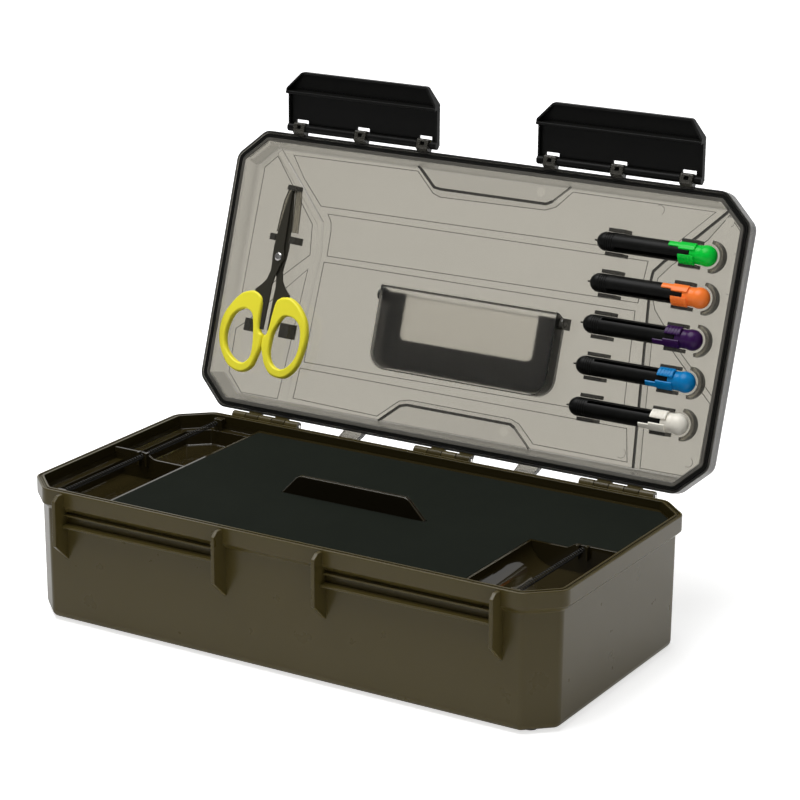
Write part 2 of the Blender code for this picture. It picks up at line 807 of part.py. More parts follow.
def handle_outline(low):
    """The handle tab's face: a trapezoid with rounded shoulders."""
    left, right = HANDLE_X - HANDLE_BASE / 2, HANDLE_X + HANDLE_BASE / 2
    top_left, top_right = HANDLE_X - HANDLE_TOP / 2, HANDLE_X + HANDLE_TOP / 2
    rise = HANDLE_RISE - LIP_LEVEL
    corners = [
        (left, low), (right, low), (right, -LIP_LEVEL),
        (top_right, rise), (top_left, rise), (left, -LIP_LEVEL),
    ]
    radii = [0, 0, 0, HANDLE_CORNER, HANDLE_CORNER, 0]
    return fillet(corners, radii, ARC_STEPS)


def post(x, y0, y1):
    """A small block on the tray's step that one end of a spring meets."""
    low = -STEP_LEVEL - TRAY_WALL / 2
    return bar((x - POST_WIDTH / 2, y0, low), (x + POST_WIDTH / 2, y1, -POST_TOP))


def post_depths():
    """The X place of each spring and the two Y faces between which it lies."""
    front = -HALF_WIDTH + BAY_INSET + POST_THICKNESS
    back = HALF_WIDTH - BAY_INSET - BACK_POST_INSET
    return {
        "left_front": (-SPRING_X, front, DIVIDER_Y - DIVIDER_THICKNESS / 2),
        "left_back": (-SPRING_X, DIVIDER_Y + DIVIDER_THICKNESS / 2, back),
        "right": (SPRING_X + POST_THICKNESS, front, CORNER_BAY_Y),
    }


def make_tray(look, body):
    low = -TRAY_BOTTOM
    draft = BODY_INSET + TRAY_WALL / 4
    made = solid("lift_out_tray", loft(
        rim_ring(draft + TRAY_WALL / 4, low),
        rim_ring(draft, low + TRAY_WALL),
        rim_ring(BODY_INSET, -SHELF_LEVEL),
        rim_ring(INNER_INSET, -SHELF_LEVEL),
        rim_ring(INNER_INSET, -TRAY_TOP),
        rim_ring(INNER_INSET + LIP_WIDTH, -TRAY_TOP),
        rim_ring(INNER_INSET + LIP_WIDTH, -LIP_LEVEL),
    ), look, body)
    bay_wall = BODY_INSET + TRAY_WALL
    left_end = LEFT_WALL_X - DIVIDER_THICKNESS
    deck_low = -DECK_LEVEL - TRAY_DECK_THICKNESS
    cut(made, clipped(
        "left_bays", bay_space(),
        bar((-RIM_LENGTH, -RIM_WIDTH, -TRAY_BOTTOM), (left_end, RIM_WIDTH, RIM_WIDTH)),
    ))
    cut(made, clipped("corner_bay", bay_space(), prism_y(scoop_outline(), -RIM_WIDTH, CORNER_BAY_Y)))
    cut(made, clipped(
        "deck", bay_prism(-DECK_LEVEL, OVERRUN, BAY_INSET),
        prism_z(deck_outline(0), -TRAY_BOTTOM, RIM_WIDTH),
    ))
    cut(made, clipped(
        "underside", bay_prism(-TRAY_BOTTOM - OVERRUN, deck_low, bay_wall),
        prism_z(deck_outline(DIVIDER_THICKNESS), -RIM_WIDTH, RIM_WIDTH),
    ))
    divider_end = -HALF_LENGTH + INNER_INSET + LIP_WIDTH / 2
    divider_top = wall_profile(
        divider_end, LEFT_WALL_X - DIVIDER_THICKNESS / 2, True, DIVIDER_HIGH_SHARE, DIVIDER_LOW_SHARE
    )
    corner_top = wall_profile(
        CORNER_BAY_X - DIVIDER_THICKNESS / 2, HALF_LENGTH - INNER_INSET - LIP_WIDTH / 2,
        False, CORNER_HIGH_SHARE, CORNER_LOW_SHARE,
    )
    places = post_depths()
    post_root = INNER_INSET + TRAY_WALL / 4
    join(
        made,
        standing_wall(divider_top, DIVIDER_Y - DIVIDER_THICKNESS / 2, DIVIDER_Y + DIVIDER_THICKNESS / 2),
        standing_wall(corner_top, CORNER_BAY_Y, CORNER_BAY_Y + DIVIDER_THICKNESS),
        post(places["left_front"][0], -HALF_WIDTH + post_root, places["left_front"][1]),
        post(places["left_back"][0], places["left_back"][2], HALF_WIDTH - post_root),
        post(places["right"][0], -HALF_WIDTH + post_root, places["right"][1]),
        prism_y(
            handle_outline(-DECK_LEVEL - TRAY_DECK_THICKNESS / 2),
            HANDLE_Y - HANDLE_THICKNESS / 2, HANDLE_Y + HANDLE_THICKNESS / 2,
        ),
    )
    return made


def deck_outline(margin):
    """The foam's place: all of the tray but the left bays and the corner bay."""
    left = LEFT_WALL_X + margin
    right = HALF_LENGTH
    corner_x = CORNER_BAY_X - DIVIDER_THICKNESS - margin
    corner_y = CORNER_BAY_Y + DIVIDER_THICKNESS + margin
    back = HALF_WIDTH - FOAM_BACK_MARGIN - BAY_INSET + TRAY_WALL
    return [
        (left, -HALF_WIDTH), (corner_x, -HALF_WIDTH), (corner_x, corner_y),
        (right, corner_y), (right, back), (left, back),
    ]


def make_foam(look, body):
    level = -DECK_LEVEL + GAP
    inset = BAY_INSET + GAP
    made = solid("foam_pad", clipped(
        "foam_sheet", bay_prism(level, level + FOAM_THICKNESS, inset),
        prism_z(foam_outline(), level - OVERRUN, level + FOAM_THICKNESS + OVERRUN),
    ), look, body)
    bpy.context.view_layer.update()
    slot = HANDLE_BASE / 2 + GAP * 2
    reach = HANDLE_THICKNESS / 2 + GAP
    cut(made, bar(
        (HANDLE_X - slot, HANDLE_Y - reach, level - OVERRUN),
        (HANDLE_X + slot, HANDLE_Y + reach, level + FOAM_THICKNESS + OVERRUN),
    ))
    return made


def foam_outline():
    """The deck's outline, drawn in by a gap on each cut side."""
    left, corner_x = LEFT_WALL_X + GAP, CORNER_BAY_X - DIVIDER_THICKNESS - GAP
    corner_y = CORNER_BAY_Y + DIVIDER_THICKNESS + GAP
    back = deck_outline(0)[-1][1] - GAP
    return [
        (left, -HALF_WIDTH), (corner_x, -HALF_WIDTH), (corner_x, corner_y),
        (HALF_LENGTH, corner_y), (HALF_LENGTH, back), (left, back),
    ]


# Rig springs


def spring_points(y0, y1):
    """A helix along Y with a straight lead at each end, on the spring's own axis."""
    lead = SPRING_WIRE * 2
    start = y0 + GAP + lead * 2
    end = y1 - GAP - lead * 2
    turns = max(2, round((end - start) / SPRING_PITCH))
    points = [(0, y0 + GAP, 0), (0, y0 + GAP + lead, 0)]
    total = turns * CURL_POINTS
    for step in range(total + 1):
        angle = math.tau * step / CURL_POINTS
        y = start + (end - start) * step / total
        points.append((SPRING_RADIUS * math.cos(angle), y, SPRING_RADIUS * math.sin(angle)))
    points += [(0, y1 - GAP - lead, 0), (0, y1 - GAP, 0)]
    return points, turns


def least_gap(points):
    """The least clear distance between stretches of wire that are half a turn or more apart."""
    least = math.inf
    reach = CURL_POINTS // 2 + 1
    for index, point in enumerate(points):
        for other in points[index + reach:index + CURL_POINTS * 2]:
            least = min(least, (Vector(point) - Vector(other)).length)
    return least - SPRING_WIRE * 2


def make_spring(name, look, body, x, y0, y1):
    points, turns = spring_points(y0, y1)
    curve = bpy.data.curves.new(name, "CURVE")
    curve.dimensions = "3D"
    curve.bevel_depth = SPRING_WIRE
    curve.bevel_resolution = 1
    curve.use_fill_caps = True
    spline = curve.splines.new("POLY")
    spline.points.add(len(points) - 1)
    for target, point in zip(spline.points, points):
        target.co = (*point, 1.0)
    made = bpy.data.objects.new(name, curve)
    bpy.context.scene.collection.objects.link(made)
    made.location = (x, 0, -SPRING_LEVEL)
    made.parent = body
    curve.materials.append(look)
    print(name, "turns", turns, "least gap in mm", round(least_gap(points) * 1000, 3))
    return made


# Lid


def make_lid(look, frame):
    pocket_in = SEAL_INSET + SEAL_WIDTH
    inner = LID_RIM_WIDTH + LID_WALL_DRAFT
    bend = LID_ROUND * (1 - math.sqrt(0.5))
    made = solid("lid_shell", loft(
        lid_ring(LID_ROUND, LID_DEPTH),
        lid_ring(bend, LID_DEPTH - bend),
        lid_ring(0, LID_DEPTH - LID_ROUND),
        lid_ring(0, 0),
        lid_ring(SEAL_INSET, 0),
        lid_ring(SEAL_INSET, SEAL_POCKET),
        lid_ring(pocket_in, SEAL_POCKET),
        lid_ring(pocket_in, 0),
        lid_ring(LID_RIM_WIDTH, 0),
        lid_ring(LID_RIM_WIDTH + LID_WALL_DRAFT / 2, LID_INNER_DEPTH - LID_WALL_DRAFT / 2),
        lid_ring(inner, LID_INNER_DEPTH),
    ), look, frame)
    cut(made, groove(LEFT_GROOVE_SHARES), groove(RIGHT_GROOVE_SHARES))
    join(made, many(*relief_pads()))
    join(made, *lid_knuckles())
    join(made, *lid_stops())
    groups = knuckle_groups()
    cut(made, *[rod_x(0, 0, start - OVERRUN, end + OVERRUN, BORE_RADIUS) for start, end in groups])
    join(made, many(*tool_arms()))
    join(made, many(*tool_stops()))
    join(made, many(*scissors_holds()))
    join(made, *bin_ears())
    cut(made, many(*ear_bores()))
    join(made, *latch_clips())
    cut(made, many(*clip_bores()))
    return made


def groove(shares):
    """A shallow channel in the lid's floor along a bent line."""
    places = [Vector((x * LID_HALF, t * LID_WIDTH)) for x, t in shares]
    left, right = [], []
    for index, place in enumerate(places):
        before = places[max(index - 1, 0)]
        after = places[min(index + 1, len(places) - 1)]
        side = (after - before).orthogonal().normalized() * GROOVE_WIDTH / 2
        left.append(tuple(place + side))
        right.append(tuple(place - side))
    depth = LID_INNER_DEPTH + GROOVE_DEPTH
    return lid_prism(left + right[::-1], LID_INNER_DEPTH - OVERRUN, depth)


def relief_pads():
    """Two low trapezoid panels, one at the front edge and one at the hinge edge."""
    pads = []
    for edge, way in ((LID_WIDTH - RELIEF_EDGE, -1), (RELIEF_EDGE, 1)):
        outline = [
            (-RELIEF_BASE / 2, edge), (RELIEF_BASE / 2, edge),
            (RELIEF_TOP / 2, edge + way * RELIEF_SPAN), (-RELIEF_TOP / 2, edge + way * RELIEF_SPAN),
        ]
        pads.append(lid_prism(outline, LID_INNER_DEPTH - RELIEF_HEIGHT, LID_INNER_DEPTH + OVERLAP))
    return pads


def lid_stops():
    """Wedges on the lid's hinge edge that meet the box's back when the lid is open."""
    reach = AXIS_SETBACK - GAP
    turn = LID_OPEN_ANGLE
    edge = LID_EDGE_BACK + OVERLAP
    wall = LID_EDGE_RISE + OVERLAP
    root = [(-edge, wall), (-edge, wall + STOP_ROOT)]
    opened = [(-reach, -STOP_FOOT), (-reach, 0), (reach, -STOP_FOOT / 4)]
    closed = [
        (y * math.cos(turn) - z * math.sin(turn), y * math.sin(turn) + z * math.cos(turn))
        for y, z in opened
    ]
    outline = [closed[0], closed[1], root[0], root[1], closed[2]]
    stops = []
    for share in STOP_PLACE_SHARES:
        x = share * HALF_LENGTH
        stops.append(prism_x(outline, x - STOP_WIDTH / 2, x + STOP_WIDTH / 2))
    return stops


def make_seal(look, frame):
    outer = SEAL_INSET + GAP
    inner = SEAL_INSET + SEAL_WIDTH - GAP
    top = SEAL_POCKET - GAP
    return solid("lid_seal", belt(
        lid_ring(outer, -SEAL_PROUD), lid_ring(outer, top),
        lid_ring(inner, top), lid_ring(inner, -SEAL_PROUD),
    ), look, frame)


# Latches


def latch_spans():
    """The two X ranges that the latches fill between the gusset plates."""
    places = rib_places()
    margin = RIB_THICKNESS / 2 + LATCH_SIDE_GAP
    return [(left + margin, right - margin) for left, right in (places[:2], places[2:])]


def clip_places(span):
    middle = (span[0] + span[1]) / 2
    half = (span[1] - span[0]) / 2
    return [middle + share * half for share in CLIP_PLACE_SHARES]


def latch_clips():
    """Clips on the lid's front edge that hold each latch's rod."""
    outer = ROD_RADIUS + GAP + CLIP_WALL
    places = [
        (LID_WIDTH - OVERLAP, GAP), (LID_WIDTH + OVERLAP, -outer), (ROD_T + outer, -outer),
        (ROD_T + outer, outer), (LID_WIDTH - OVERLAP, outer),
    ]
    outline = [lid_point(0, t, depth)[1:] for t, depth in places]
    return [
        prism_x(outline, x - CLIP_WIDTH / 2, x + CLIP_WIDTH / 2)
        for span in latch_spans() for x in clip_places(span)
    ]


def clip_bores():
    _, y, z = lid_point(0, ROD_T, 0)
    return [
        rod_x(y, z, x - CLIP_WIDTH / 2 - OVERRUN, x + CLIP_WIDTH / 2 + OVERRUN, ROD_RADIUS + GAP)
        for span in latch_spans() for x in clip_places(span)
    ]


def make_latch(name, look, frame, span):
    """A latch in its own frame on the rod's axis: its plate runs to -Y when the lid is closed."""
    x0, x1 = span[0], span[1]
    outer = ROD_RADIUS + GAP + CLIP_WALL
    tip = HOOK_TOP + HOOK_THICKNESS
    plate_low = PLATE_OFFSET
    plate_high = PLATE_OFFSET + PLATE_THICKNESS
    made = solid(name, rod_x(0, 0, x0, x1, ROD_RADIUS), look, frame)
    bpy.context.view_layer.update()
    lip = fillet(
        [(x0, -tip + OVERLAP), (x1, -tip + OVERLAP), (x1, -tip - PLATE_THICKNESS),
         (x1 - LIP_CUT, -tip - LIP_HEIGHT), (x0 + LIP_CUT, -tip - LIP_HEIGHT), (x0, -tip - PLATE_THICKNESS)],
        [0, 0, 0, LIP_CUT / 3, LIP_CUT / 3, 0], ARC_STEPS,
    )

    def flared(y):
        share = max(0.0, (-y - tip) / LIP_HEIGHT)
        return LIP_FLARE * share

    join(
        made,
        bar((x0, -HOOK_TOP - HOOK_THICKNESS / 2, plate_low), (x1, 0, plate_high)),
        bar((x0, -tip, -HOOK_REACH + plate_high), (x1, -HOOK_TOP, plate_high)),
        loft(
            [(x, y, plate_low + flared(y)) for x, y in lip],
            [(x, y, plate_high + flared(y)) for x, y in lip],
        ),
        bar((x0, -HOOK_TOP - HOOK_THICKNESS / 2, -ROD_RADIUS / 2), (x0 + SIDE_RIB, 0, plate_high)),
        bar((x1 - SIDE_RIB, -HOOK_TOP - HOOK_THICKNESS / 2, -ROD_RADIUS / 2), (x1, 0, plate_high)),
    )
    half = CLIP_WIDTH / 2 + NOTCH_GAP
    cut(made, many(*[
        bar(
            (x - half, -outer - NOTCH_REACH, ROD_RADIUS - GAP),
            (x + half, outer + OVERRUN, plate_high + OVERRUN),
        )
        for x in clip_places(span)
    ]))
    return made


# Needle tools


def tool_rows():
    """The t place of each tool's axis."""
    first = TOOL_FIRST_SHARE * LID_WIDTH
    last = TOOL_LAST_SHARE * LID_WIDTH
    return [first + (last - first) * number / (TOOL_COUNT - 1) for number in range(TOOL_COUNT)]


def tool_arms():
    """Pairs of straight arms that stand beside each tool."""
    arms = []
    low = LID_INNER_DEPTH - ARM_HEIGHT
    high = LID_INNER_DEPTH + OVERLAP
    for t in tool_rows():
        for start, length in ((FRONT_ARM_START, FRONT_ARM_LENGTH), (BACK_ARM_START, BACK_ARM_LENGTH)):
            x = TOOL_START + start
            for way in (-1, 1):
                near = t + way * (TOOL_RADIUS + GAP)
                far = near + way * ARM_THICKNESS
                arms.append(lid_bar((x, near, low), (x + length, far, high)))
    return arms


def tool_stops():
    """A crescent wall behind the round end of each tool."""
    stops = []
    centre_x = TOOL_END - BALL_RADIUS
    inner = BALL_RADIUS + STOP_ARC_GAP
    outer = inner + STOP_ARC_WALL
    low = LID_INNER_DEPTH - STOP_ARC_HEIGHT
    for t in tool_rows():
        near, far = [], []
        for step in range(STOP_ARC_STEPS + 1):
            angle = STOP_ARC_ANGLE * (2 * step / STOP_ARC_STEPS - 1)
            wall = inner + (outer - inner) * math.cos(angle)
            near.append((centre_x + inner * math.cos(angle), t + inner * math.sin(angle)))
            far.append((centre_x + wall * math.cos(angle), t + wall * math.sin(angle)))
        stops.append(lid_prism(near + far[::-1], low, LID_INNER_DEPTH + OVERLAP))
    return stops


def make_tool(word, looks, frame, t, way):
    """One tool along X in its own frame, whose -Z side carries the slider; way leans that side."""
    black, colour, steel = looks
    _, y, z = lid_point(0, t, TOOL_LEVEL)
    turn = (way * SLIDER_TURN, 0, 0)
    body = empty(f"{word}_tool_frame", (TOOL_START, y, z), frame, turn)
    slide = empty(f"{word}_slider_frame", (TOOL_START, y, z), frame, turn)
    make_barrel(word, black, body)
    make_cap(word, colour, body, way)
    make_slider(word, colour, slide)
    smooth(solid(f"{word}_needle", rod_x(
        0, 0, -NEEDLE_REACH, SLIDER_FRONT - GAP, NEEDLE_RADIUS, ROUND_SIDES // 2
    ), steel, slide))


def make_barrel(word, look, body):
    """A hollow tube with a round nose, a needle hole and a slot for the slider's web."""
    nose = TOOL_RADIUS * NOSE_RADIUS_SHARE
    hollow = TOOL_RADIUS - BARREL_WALL
    barrel = solid(f"{word}_barrel", turned_x([
        (0, nose * NOSE_RADIUS_SHARE), (NOSE_LENGTH / 4, nose), (NOSE_LENGTH, TOOL_RADIUS),
        (BARREL_END, TOOL_RADIUS), (BARREL_END, hollow), (NOSE_LENGTH, hollow),
    ], 0, 0, 0, TOOL_SIDES), look, body)
    cut(
        barrel,
        rod_x(0, 0, -OVERRUN, NOSE_LENGTH + OVERRUN, NEEDLE_RADIUS + GAP),
        bar(
            (NOSE_LENGTH + SLOT_END, -SLOT_WIDTH / 2, -TOOL_RADIUS - OVERRUN),
            (BARREL_END + OVERRUN, SLOT_WIDTH / 2, 0),
        ),
    )
    smooth(barrel)


def make_cap(word, look, body, way):
    """The round end, plugged into the barrel, with a tongue that lies along the barrel."""
    hollow = TOOL_RADIUS - BARREL_WALL - GAP
    steps = TOOL_SIDES // 4
    start = -math.acos(NECK_RADIUS / BALL_RADIUS)
    ball = []
    for step in range(steps + 2):
        angle = start + (math.pi / 2 - start) * step / (steps + 2)
        ball.append((TOOL_LENGTH - BALL_RADIUS * (1 - math.sin(angle)), BALL_RADIUS * math.cos(angle)))
    cap = solid(f"{word}_end_cap", turned_x([
        (BARREL_END - CAP_SOCKET, hollow), (BARREL_END + GAP, hollow), (BARREL_END + GAP, NECK_RADIUS),
        *ball, (TOOL_LENGTH, BALL_RADIUS / TOOL_SIDES),
    ], 0, 0, 0, TOOL_SIDES), look, body)
    angle = -math.pi / 2 - way * TONGUE_TURN
    out = Vector((math.cos(angle), math.sin(angle)))
    side = Vector((-out.y, out.x)) * TONGUE_WIDTH / 2
    low, high = TOOL_RADIUS + GAP, TOOL_RADIUS + GAP + TONGUE_THICKNESS
    strip = [out * low - side, out * high - side, out * high + side, out * low + side]
    deep = low - 2 * BARREL_WALL
    root = [out * deep - side, out * high - side, out * high + side, out * deep + side]
    join(
        cap,
        prism_x(strip, BARREL_END - TONGUE_LENGTH, BARREL_END + BARREL_WALL),
        prism_x(root, BARREL_END + GAP * 2, BARREL_END + BARREL_WALL * 2),
    )
    smooth(cap)


def make_slider(word, look, slide):
    """A carrier inside the barrel, a web through the slot and a ribbed pad outside."""
    back = SLIDER_FRONT + SLIDER_LENGTH
    inside = BARREL_END - CAP_SOCKET - 2 * GAP
    web = SLOT_WIDTH / 2 - GAP
    seat = TOOL_RADIUS + GAP
    top = TOOL_RADIUS + SLIDER_PROUD
    pad = (seat + top) / 2
    slider = solid(f"{word}_slider", bar((SLIDER_FRONT, -web, -pad), (inside, web, 0)), look, slide)
    pitch = SLIDER_LENGTH / SLIDER_RIBS
    ribs = []
    for number in range(SLIDER_RIBS):
        x = SLIDER_FRONT + pitch * (number + 1 / 4)
        ribs.append(bar((x, -SLIDER_WIDTH / 2, -top), (x + pitch / 2, SLIDER_WIDTH / 2, -seat - GAP / 2)))
    join(
        slider,
        rod_x(0, 0, SLIDER_FRONT, inside, CARRIER_RADIUS),
        bar((SLIDER_FRONT, -SLIDER_WIDTH / 2, -pad), (back, SLIDER_WIDTH / 2, -seat)),
        many(*ribs),
    )


# Tilting bin


def bin_outline(inset, top):
    """The bin's front view, its lower corners rounded."""
    half = BIN_HALF - inset
    low = BIN_BOTTOM + inset
    corner = BIN_CORNER - inset
    places = [(-half, top), (-half, low), (half, low), (half, top)]
    return fillet(places, [0, corner, corner, 0], BIN_CORNER_STEPS)


def bin_point(x, t, depth):
    """A place in the lid, taken from the bin's pivot axis."""
    return (x, PIVOT_T - t, depth - PIVOT_LEVEL)


def bin_prism(outline, depth0, depth1):
    return loft(
        [bin_point(x, t, depth0) for x, t in outline],
        [bin_point(x, t, depth1) for x, t in outline],
    )


def make_bin(look, frame):
    made = solid("tilting_bin", bin_prism(bin_outline(0, BIN_TOP), -BIN_FRONT, BIN_BACK), look, frame)
    bpy.context.view_layer.update()
    cut(
        made,
        bin_prism(bin_outline(BIN_WALL, BIN_TOP + OVERRUN), -BIN_FRONT + BIN_WALL, BIN_BACK - BIN_WALL),
        bin_mouth(),
    )
    reach = BIN_HALF + GAP + EAR_THICKNESS + EAR_PIN_PROUD
    join(made, *[
        rod_x(0, 0, way * (BIN_HALF - BIN_WALL / 2), way * reach, PIVOT_RADIUS)
        for way in (-1, 1)
    ])
    return made


def bin_mouth():
    """What the slanted mouth leaves out, from the front's top down to the back's."""
    side = BIN_HALF + OVERRUN
    high = BIN_TOP + OVERRUN
    outline = [
        bin_point(0, high, -BIN_FRONT + BIN_WALL)[1:], bin_point(0, BIN_TOP, -BIN_FRONT + BIN_WALL)[1:],
        bin_point(0, BIN_TOP - BIN_MOUTH_DROP, BIN_BACK + OVERRUN)[1:],
        bin_point(0, high, BIN_BACK + OVERRUN)[1:],
    ]
    return prism_x(outline, -side, side)


def bin_ears():
    """Bosses on the lid that carry the bin's pivots."""
    ears = []
    for way in (-1, 1):
        near = BIN_X + way * (BIN_HALF + GAP)
        far = near + way * EAR_THICKNESS
        ears.append(lid_bar(
            (near, PIVOT_T - EAR_RADIUS, PIVOT_LEVEL), (far, PIVOT_T + EAR_RADIUS, LID_INNER_DEPTH + OVERLAP)
        ))
        _, y, z = lid_point(0, PIVOT_T, PIVOT_LEVEL)
        ears.append(rod_x(y, z, near, far, EAR_RADIUS))
    return ears


def ear_bores():
    _, y, z = lid_point(0, PIVOT_T, PIVOT_LEVEL)
    reach = BIN_HALF + GAP + EAR_THICKNESS + OVERRUN
    return [
        rod_x(y, z, BIN_X + way * (BIN_HALF - OVERRUN), BIN_X + way * reach, PIVOT_RADIUS + GAP)
        for way in (-1, 1)
    ]


# Scissors


def scissors_place(across, along):
    """A place on the scissors: across from their middle line, along from the loops' end."""
    from_middle = along - SCISSORS_LENGTH / 2
    x = SCISSORS_X + across * math.cos(SCISSORS_TILT) - from_middle * math.sin(SCISSORS_TILT)
    t = SCISSORS_T + across * math.sin(SCISSORS_TILT) + from_middle * math.cos(SCISSORS_TILT)
    return (x, t)


def scissors_prism(outline, depth0, depth1):
    return lid_prism([scissors_place(across, along) for across, along in outline], depth0, depth1)


def blade_outline(way):
    """A blade whose cutting edge crosses the middle line a little, with its tang to one loop."""
    pivot = PIVOT_SHARE * SCISSORS_LENGTH
    tang_end = LOOP_LENGTH * TANG_DEPTH_SHARE
    spine = [(way * BLADE_HALF_WIDTH * width, along * SCISSORS_LENGTH) for along, width in BLADE_SHARES]
    edge = [
        (-way * BLADE_HALF_WIDTH * width / 2, along * SCISSORS_LENGTH) for along, width in BLADE_SHARES
    ]
    out = way * (TANG_WIDTH + BLADE_HALF_WIDTH)
    tang = [
        (way * BLADE_HALF_WIDTH, pivot - BLADE_HALF_WIDTH), (out, LOOP_LENGTH), (out, tang_end),
        (out - way * TANG_WIDTH, tang_end), (way * TANG_WIDTH / 2, pivot - 2 * BLADE_HALF_WIDTH),
        (-way * BLADE_HALF_WIDTH, pivot),
    ]
    return spine + tang + edge[:0:-1]


def make_scissors(looks, frame):
    black, yellow, steel = looks
    made = []
    mid = SCISSORS_LEVEL
    low, high = mid - GAP / 2, mid + GAP / 2
    layers = {-1: (low - BLADE_THICKNESS, low), 1: (high, high + BLADE_THICKNESS)}
    pivot = scissors_place(0, PIVOT_SHARE * SCISSORS_LENGTH)
    for way, side in ((-1, "left"), (1, "right")):
        low, high = layers[way]
        flat = scissors_prism(blade_outline(way), low, high)
        blade = solid(f"scissors_blade_{side}", flat, black, frame)
        bpy.context.view_layer.update()
        x, y, z = lid_point(*pivot, low - OVERRUN)
        cut(blade, rod_z(x, y, z, lid_point(*pivot, high + OVERRUN)[2], RIVET_SHANK + GAP))
        made.append(blade)
    for way, side in ((-1, "left"), (1, "right")):
        made.append(make_loop(f"scissors_handle_{side}", yellow, frame, way, layers[way]))
    reach = BLADE_THICKNESS + GAP * 3 / 2
    x, y, under = lid_point(*pivot, mid - reach)
    over = under + reach * 2
    wide = circle(RIVET_RADIUS, ROUND_SIDES)
    dome = circle(RIVET_RADIUS * RIVET_DOME_SHARE, ROUND_SIDES)
    thin = circle(RIVET_SHANK, ROUND_SIDES)
    stack = (
        (dome, under - RIVET_HEAD), (wide, under - RIVET_HEAD / 2), (wide, under), (thin, under),
        (thin, over), (wide, over), (wide, over + RIVET_HEAD),
    )
    made.append(smooth(solid("scissors_rivet", loft(*[
        [(x + a, y + b, z) for a, b in ring] for ring, z in stack
    ]), steel, frame)))
    return made


def make_loop(name, look, frame, way, layer):
    """A finger loop: a rounded slab with its hole, slotted for the blade's tang."""
    outer = [(way * (x * LOOP_WIDTH + GAP), y * LOOP_LENGTH) for x, y in LOOP_OUTER_SHARES]
    inner = [(way * (x * LOOP_WIDTH + GAP), y * LOOP_LENGTH) for x, y in LOOP_INNER_SHARES]
    low = SCISSORS_LEVEL - LOOP_THICKNESS / 2
    high = SCISSORS_LEVEL + LOOP_THICKNESS / 2
    rings = []
    levels = ((low, LOOP_ROUND), (low + LOOP_ROUND, 0), (high - LOOP_ROUND, 0), (high, LOOP_ROUND))
    for depth, inset in levels:
        rings.append([lid_point(*scissors_place(*place), depth) for place in drawn_in(outer, inset)])
    made = solid(name, loft(*rings), look, frame)
    bpy.context.view_layer.update()
    rings = []
    for depth, inset in (
        (low - OVERRUN, -LOOP_ROUND), (low, -LOOP_ROUND), (low + LOOP_ROUND, 0),
        (high - LOOP_ROUND, 0), (high, -LOOP_ROUND), (high + OVERRUN, -LOOP_ROUND),
    ):
        rings.append([lid_point(*scissors_place(*place), depth) for place in drawn_in(inner, inset)])
    out = way * (TANG_WIDTH + BLADE_HALF_WIDTH)
    tang_end = LOOP_LENGTH * TANG_DEPTH_SHARE - GAP
    open_side = way * TANG_WIDTH / 4
    slot_top = LOOP_LENGTH + TANG_WIDTH * 2
    slot = [
        (out + way * GAP, slot_top), (out + way * GAP, tang_end),
        (open_side, tang_end), (open_side, slot_top),
    ]
    cut(made, loft(*rings), scissors_prism(slot, layer[0] - GAP, layer[1] + GAP))
    return smooth(made)


def drawn_in(points, inset):
    """An outline moved inwards by inset along each corner's bisector."""
    count = len(points)
    area = sum(
        points[index - 1][0] * points[index][1] - points[index][0] * points[index - 1][1]
        for index in range(count)
    )
    way = 1 if area > 0 else -1
    moved = []
    for index, point in enumerate(points):
        before = (Vector(point) - Vector(points[index - 1])).normalized()
        after = (Vector(points[(index + 1) % count]) - Vector(point)).normalized()
        normal = (before + after).normalized()
        moved.append((point[0] - way * normal.y * inset, point[1] + way * normal.x * inset))
    return moved


def scissors_holds():
    """The sheath round the blades, and the arms beside the blades and loops."""
    high = LID_INNER_DEPTH + OVERLAP
    start = SHEATH_START_SHARE * SCISSORS_LENGTH
    end = SCISSORS_LENGTH + SHEATH_GAP
    wide = BLADE_HALF_WIDTH + SHEATH_GAP
    near, middle, far = [-wide * share for share in SHEATH_WIDTH_SHARES]
    outer = [(near, start), (middle, (start + end) / 2), (far, end + SHEATH_WALL)]
    inner = [(x + SHEATH_WALL, y) for x, y in outer[:2]] + [(far + SHEATH_WALL, end)]
    right_outer = [(-x, y) for x, y in outer]
    right_inner = [(-x, y) for x, y in inner]
    sheath = outer + right_outer[::-1] + right_inner + inner[::-1]
    holds = [scissors_prism(sheath, SHEATH_LEVEL, high)]
    blade = (BLADE_HALF_WIDTH + GAP, [share * SCISSORS_LENGTH for share in BLADE_HOLD_SHARES])
    loop = (LOOP_HOLD_START, [share * LOOP_LENGTH for share in LOOP_HOLD_SHARES])
    for near, (low, top) in (blade, loop):
        for way in (-1, 1):
            inner_x, outer_x = way * near, way * (near + HOLD_WIDTH)
            outline = [(inner_x, low), (outer_x, low), (outer_x, top), (inner_x, top)]
            holds.append(scissors_prism(outline, HOLD_LEVEL, high))
    return holds


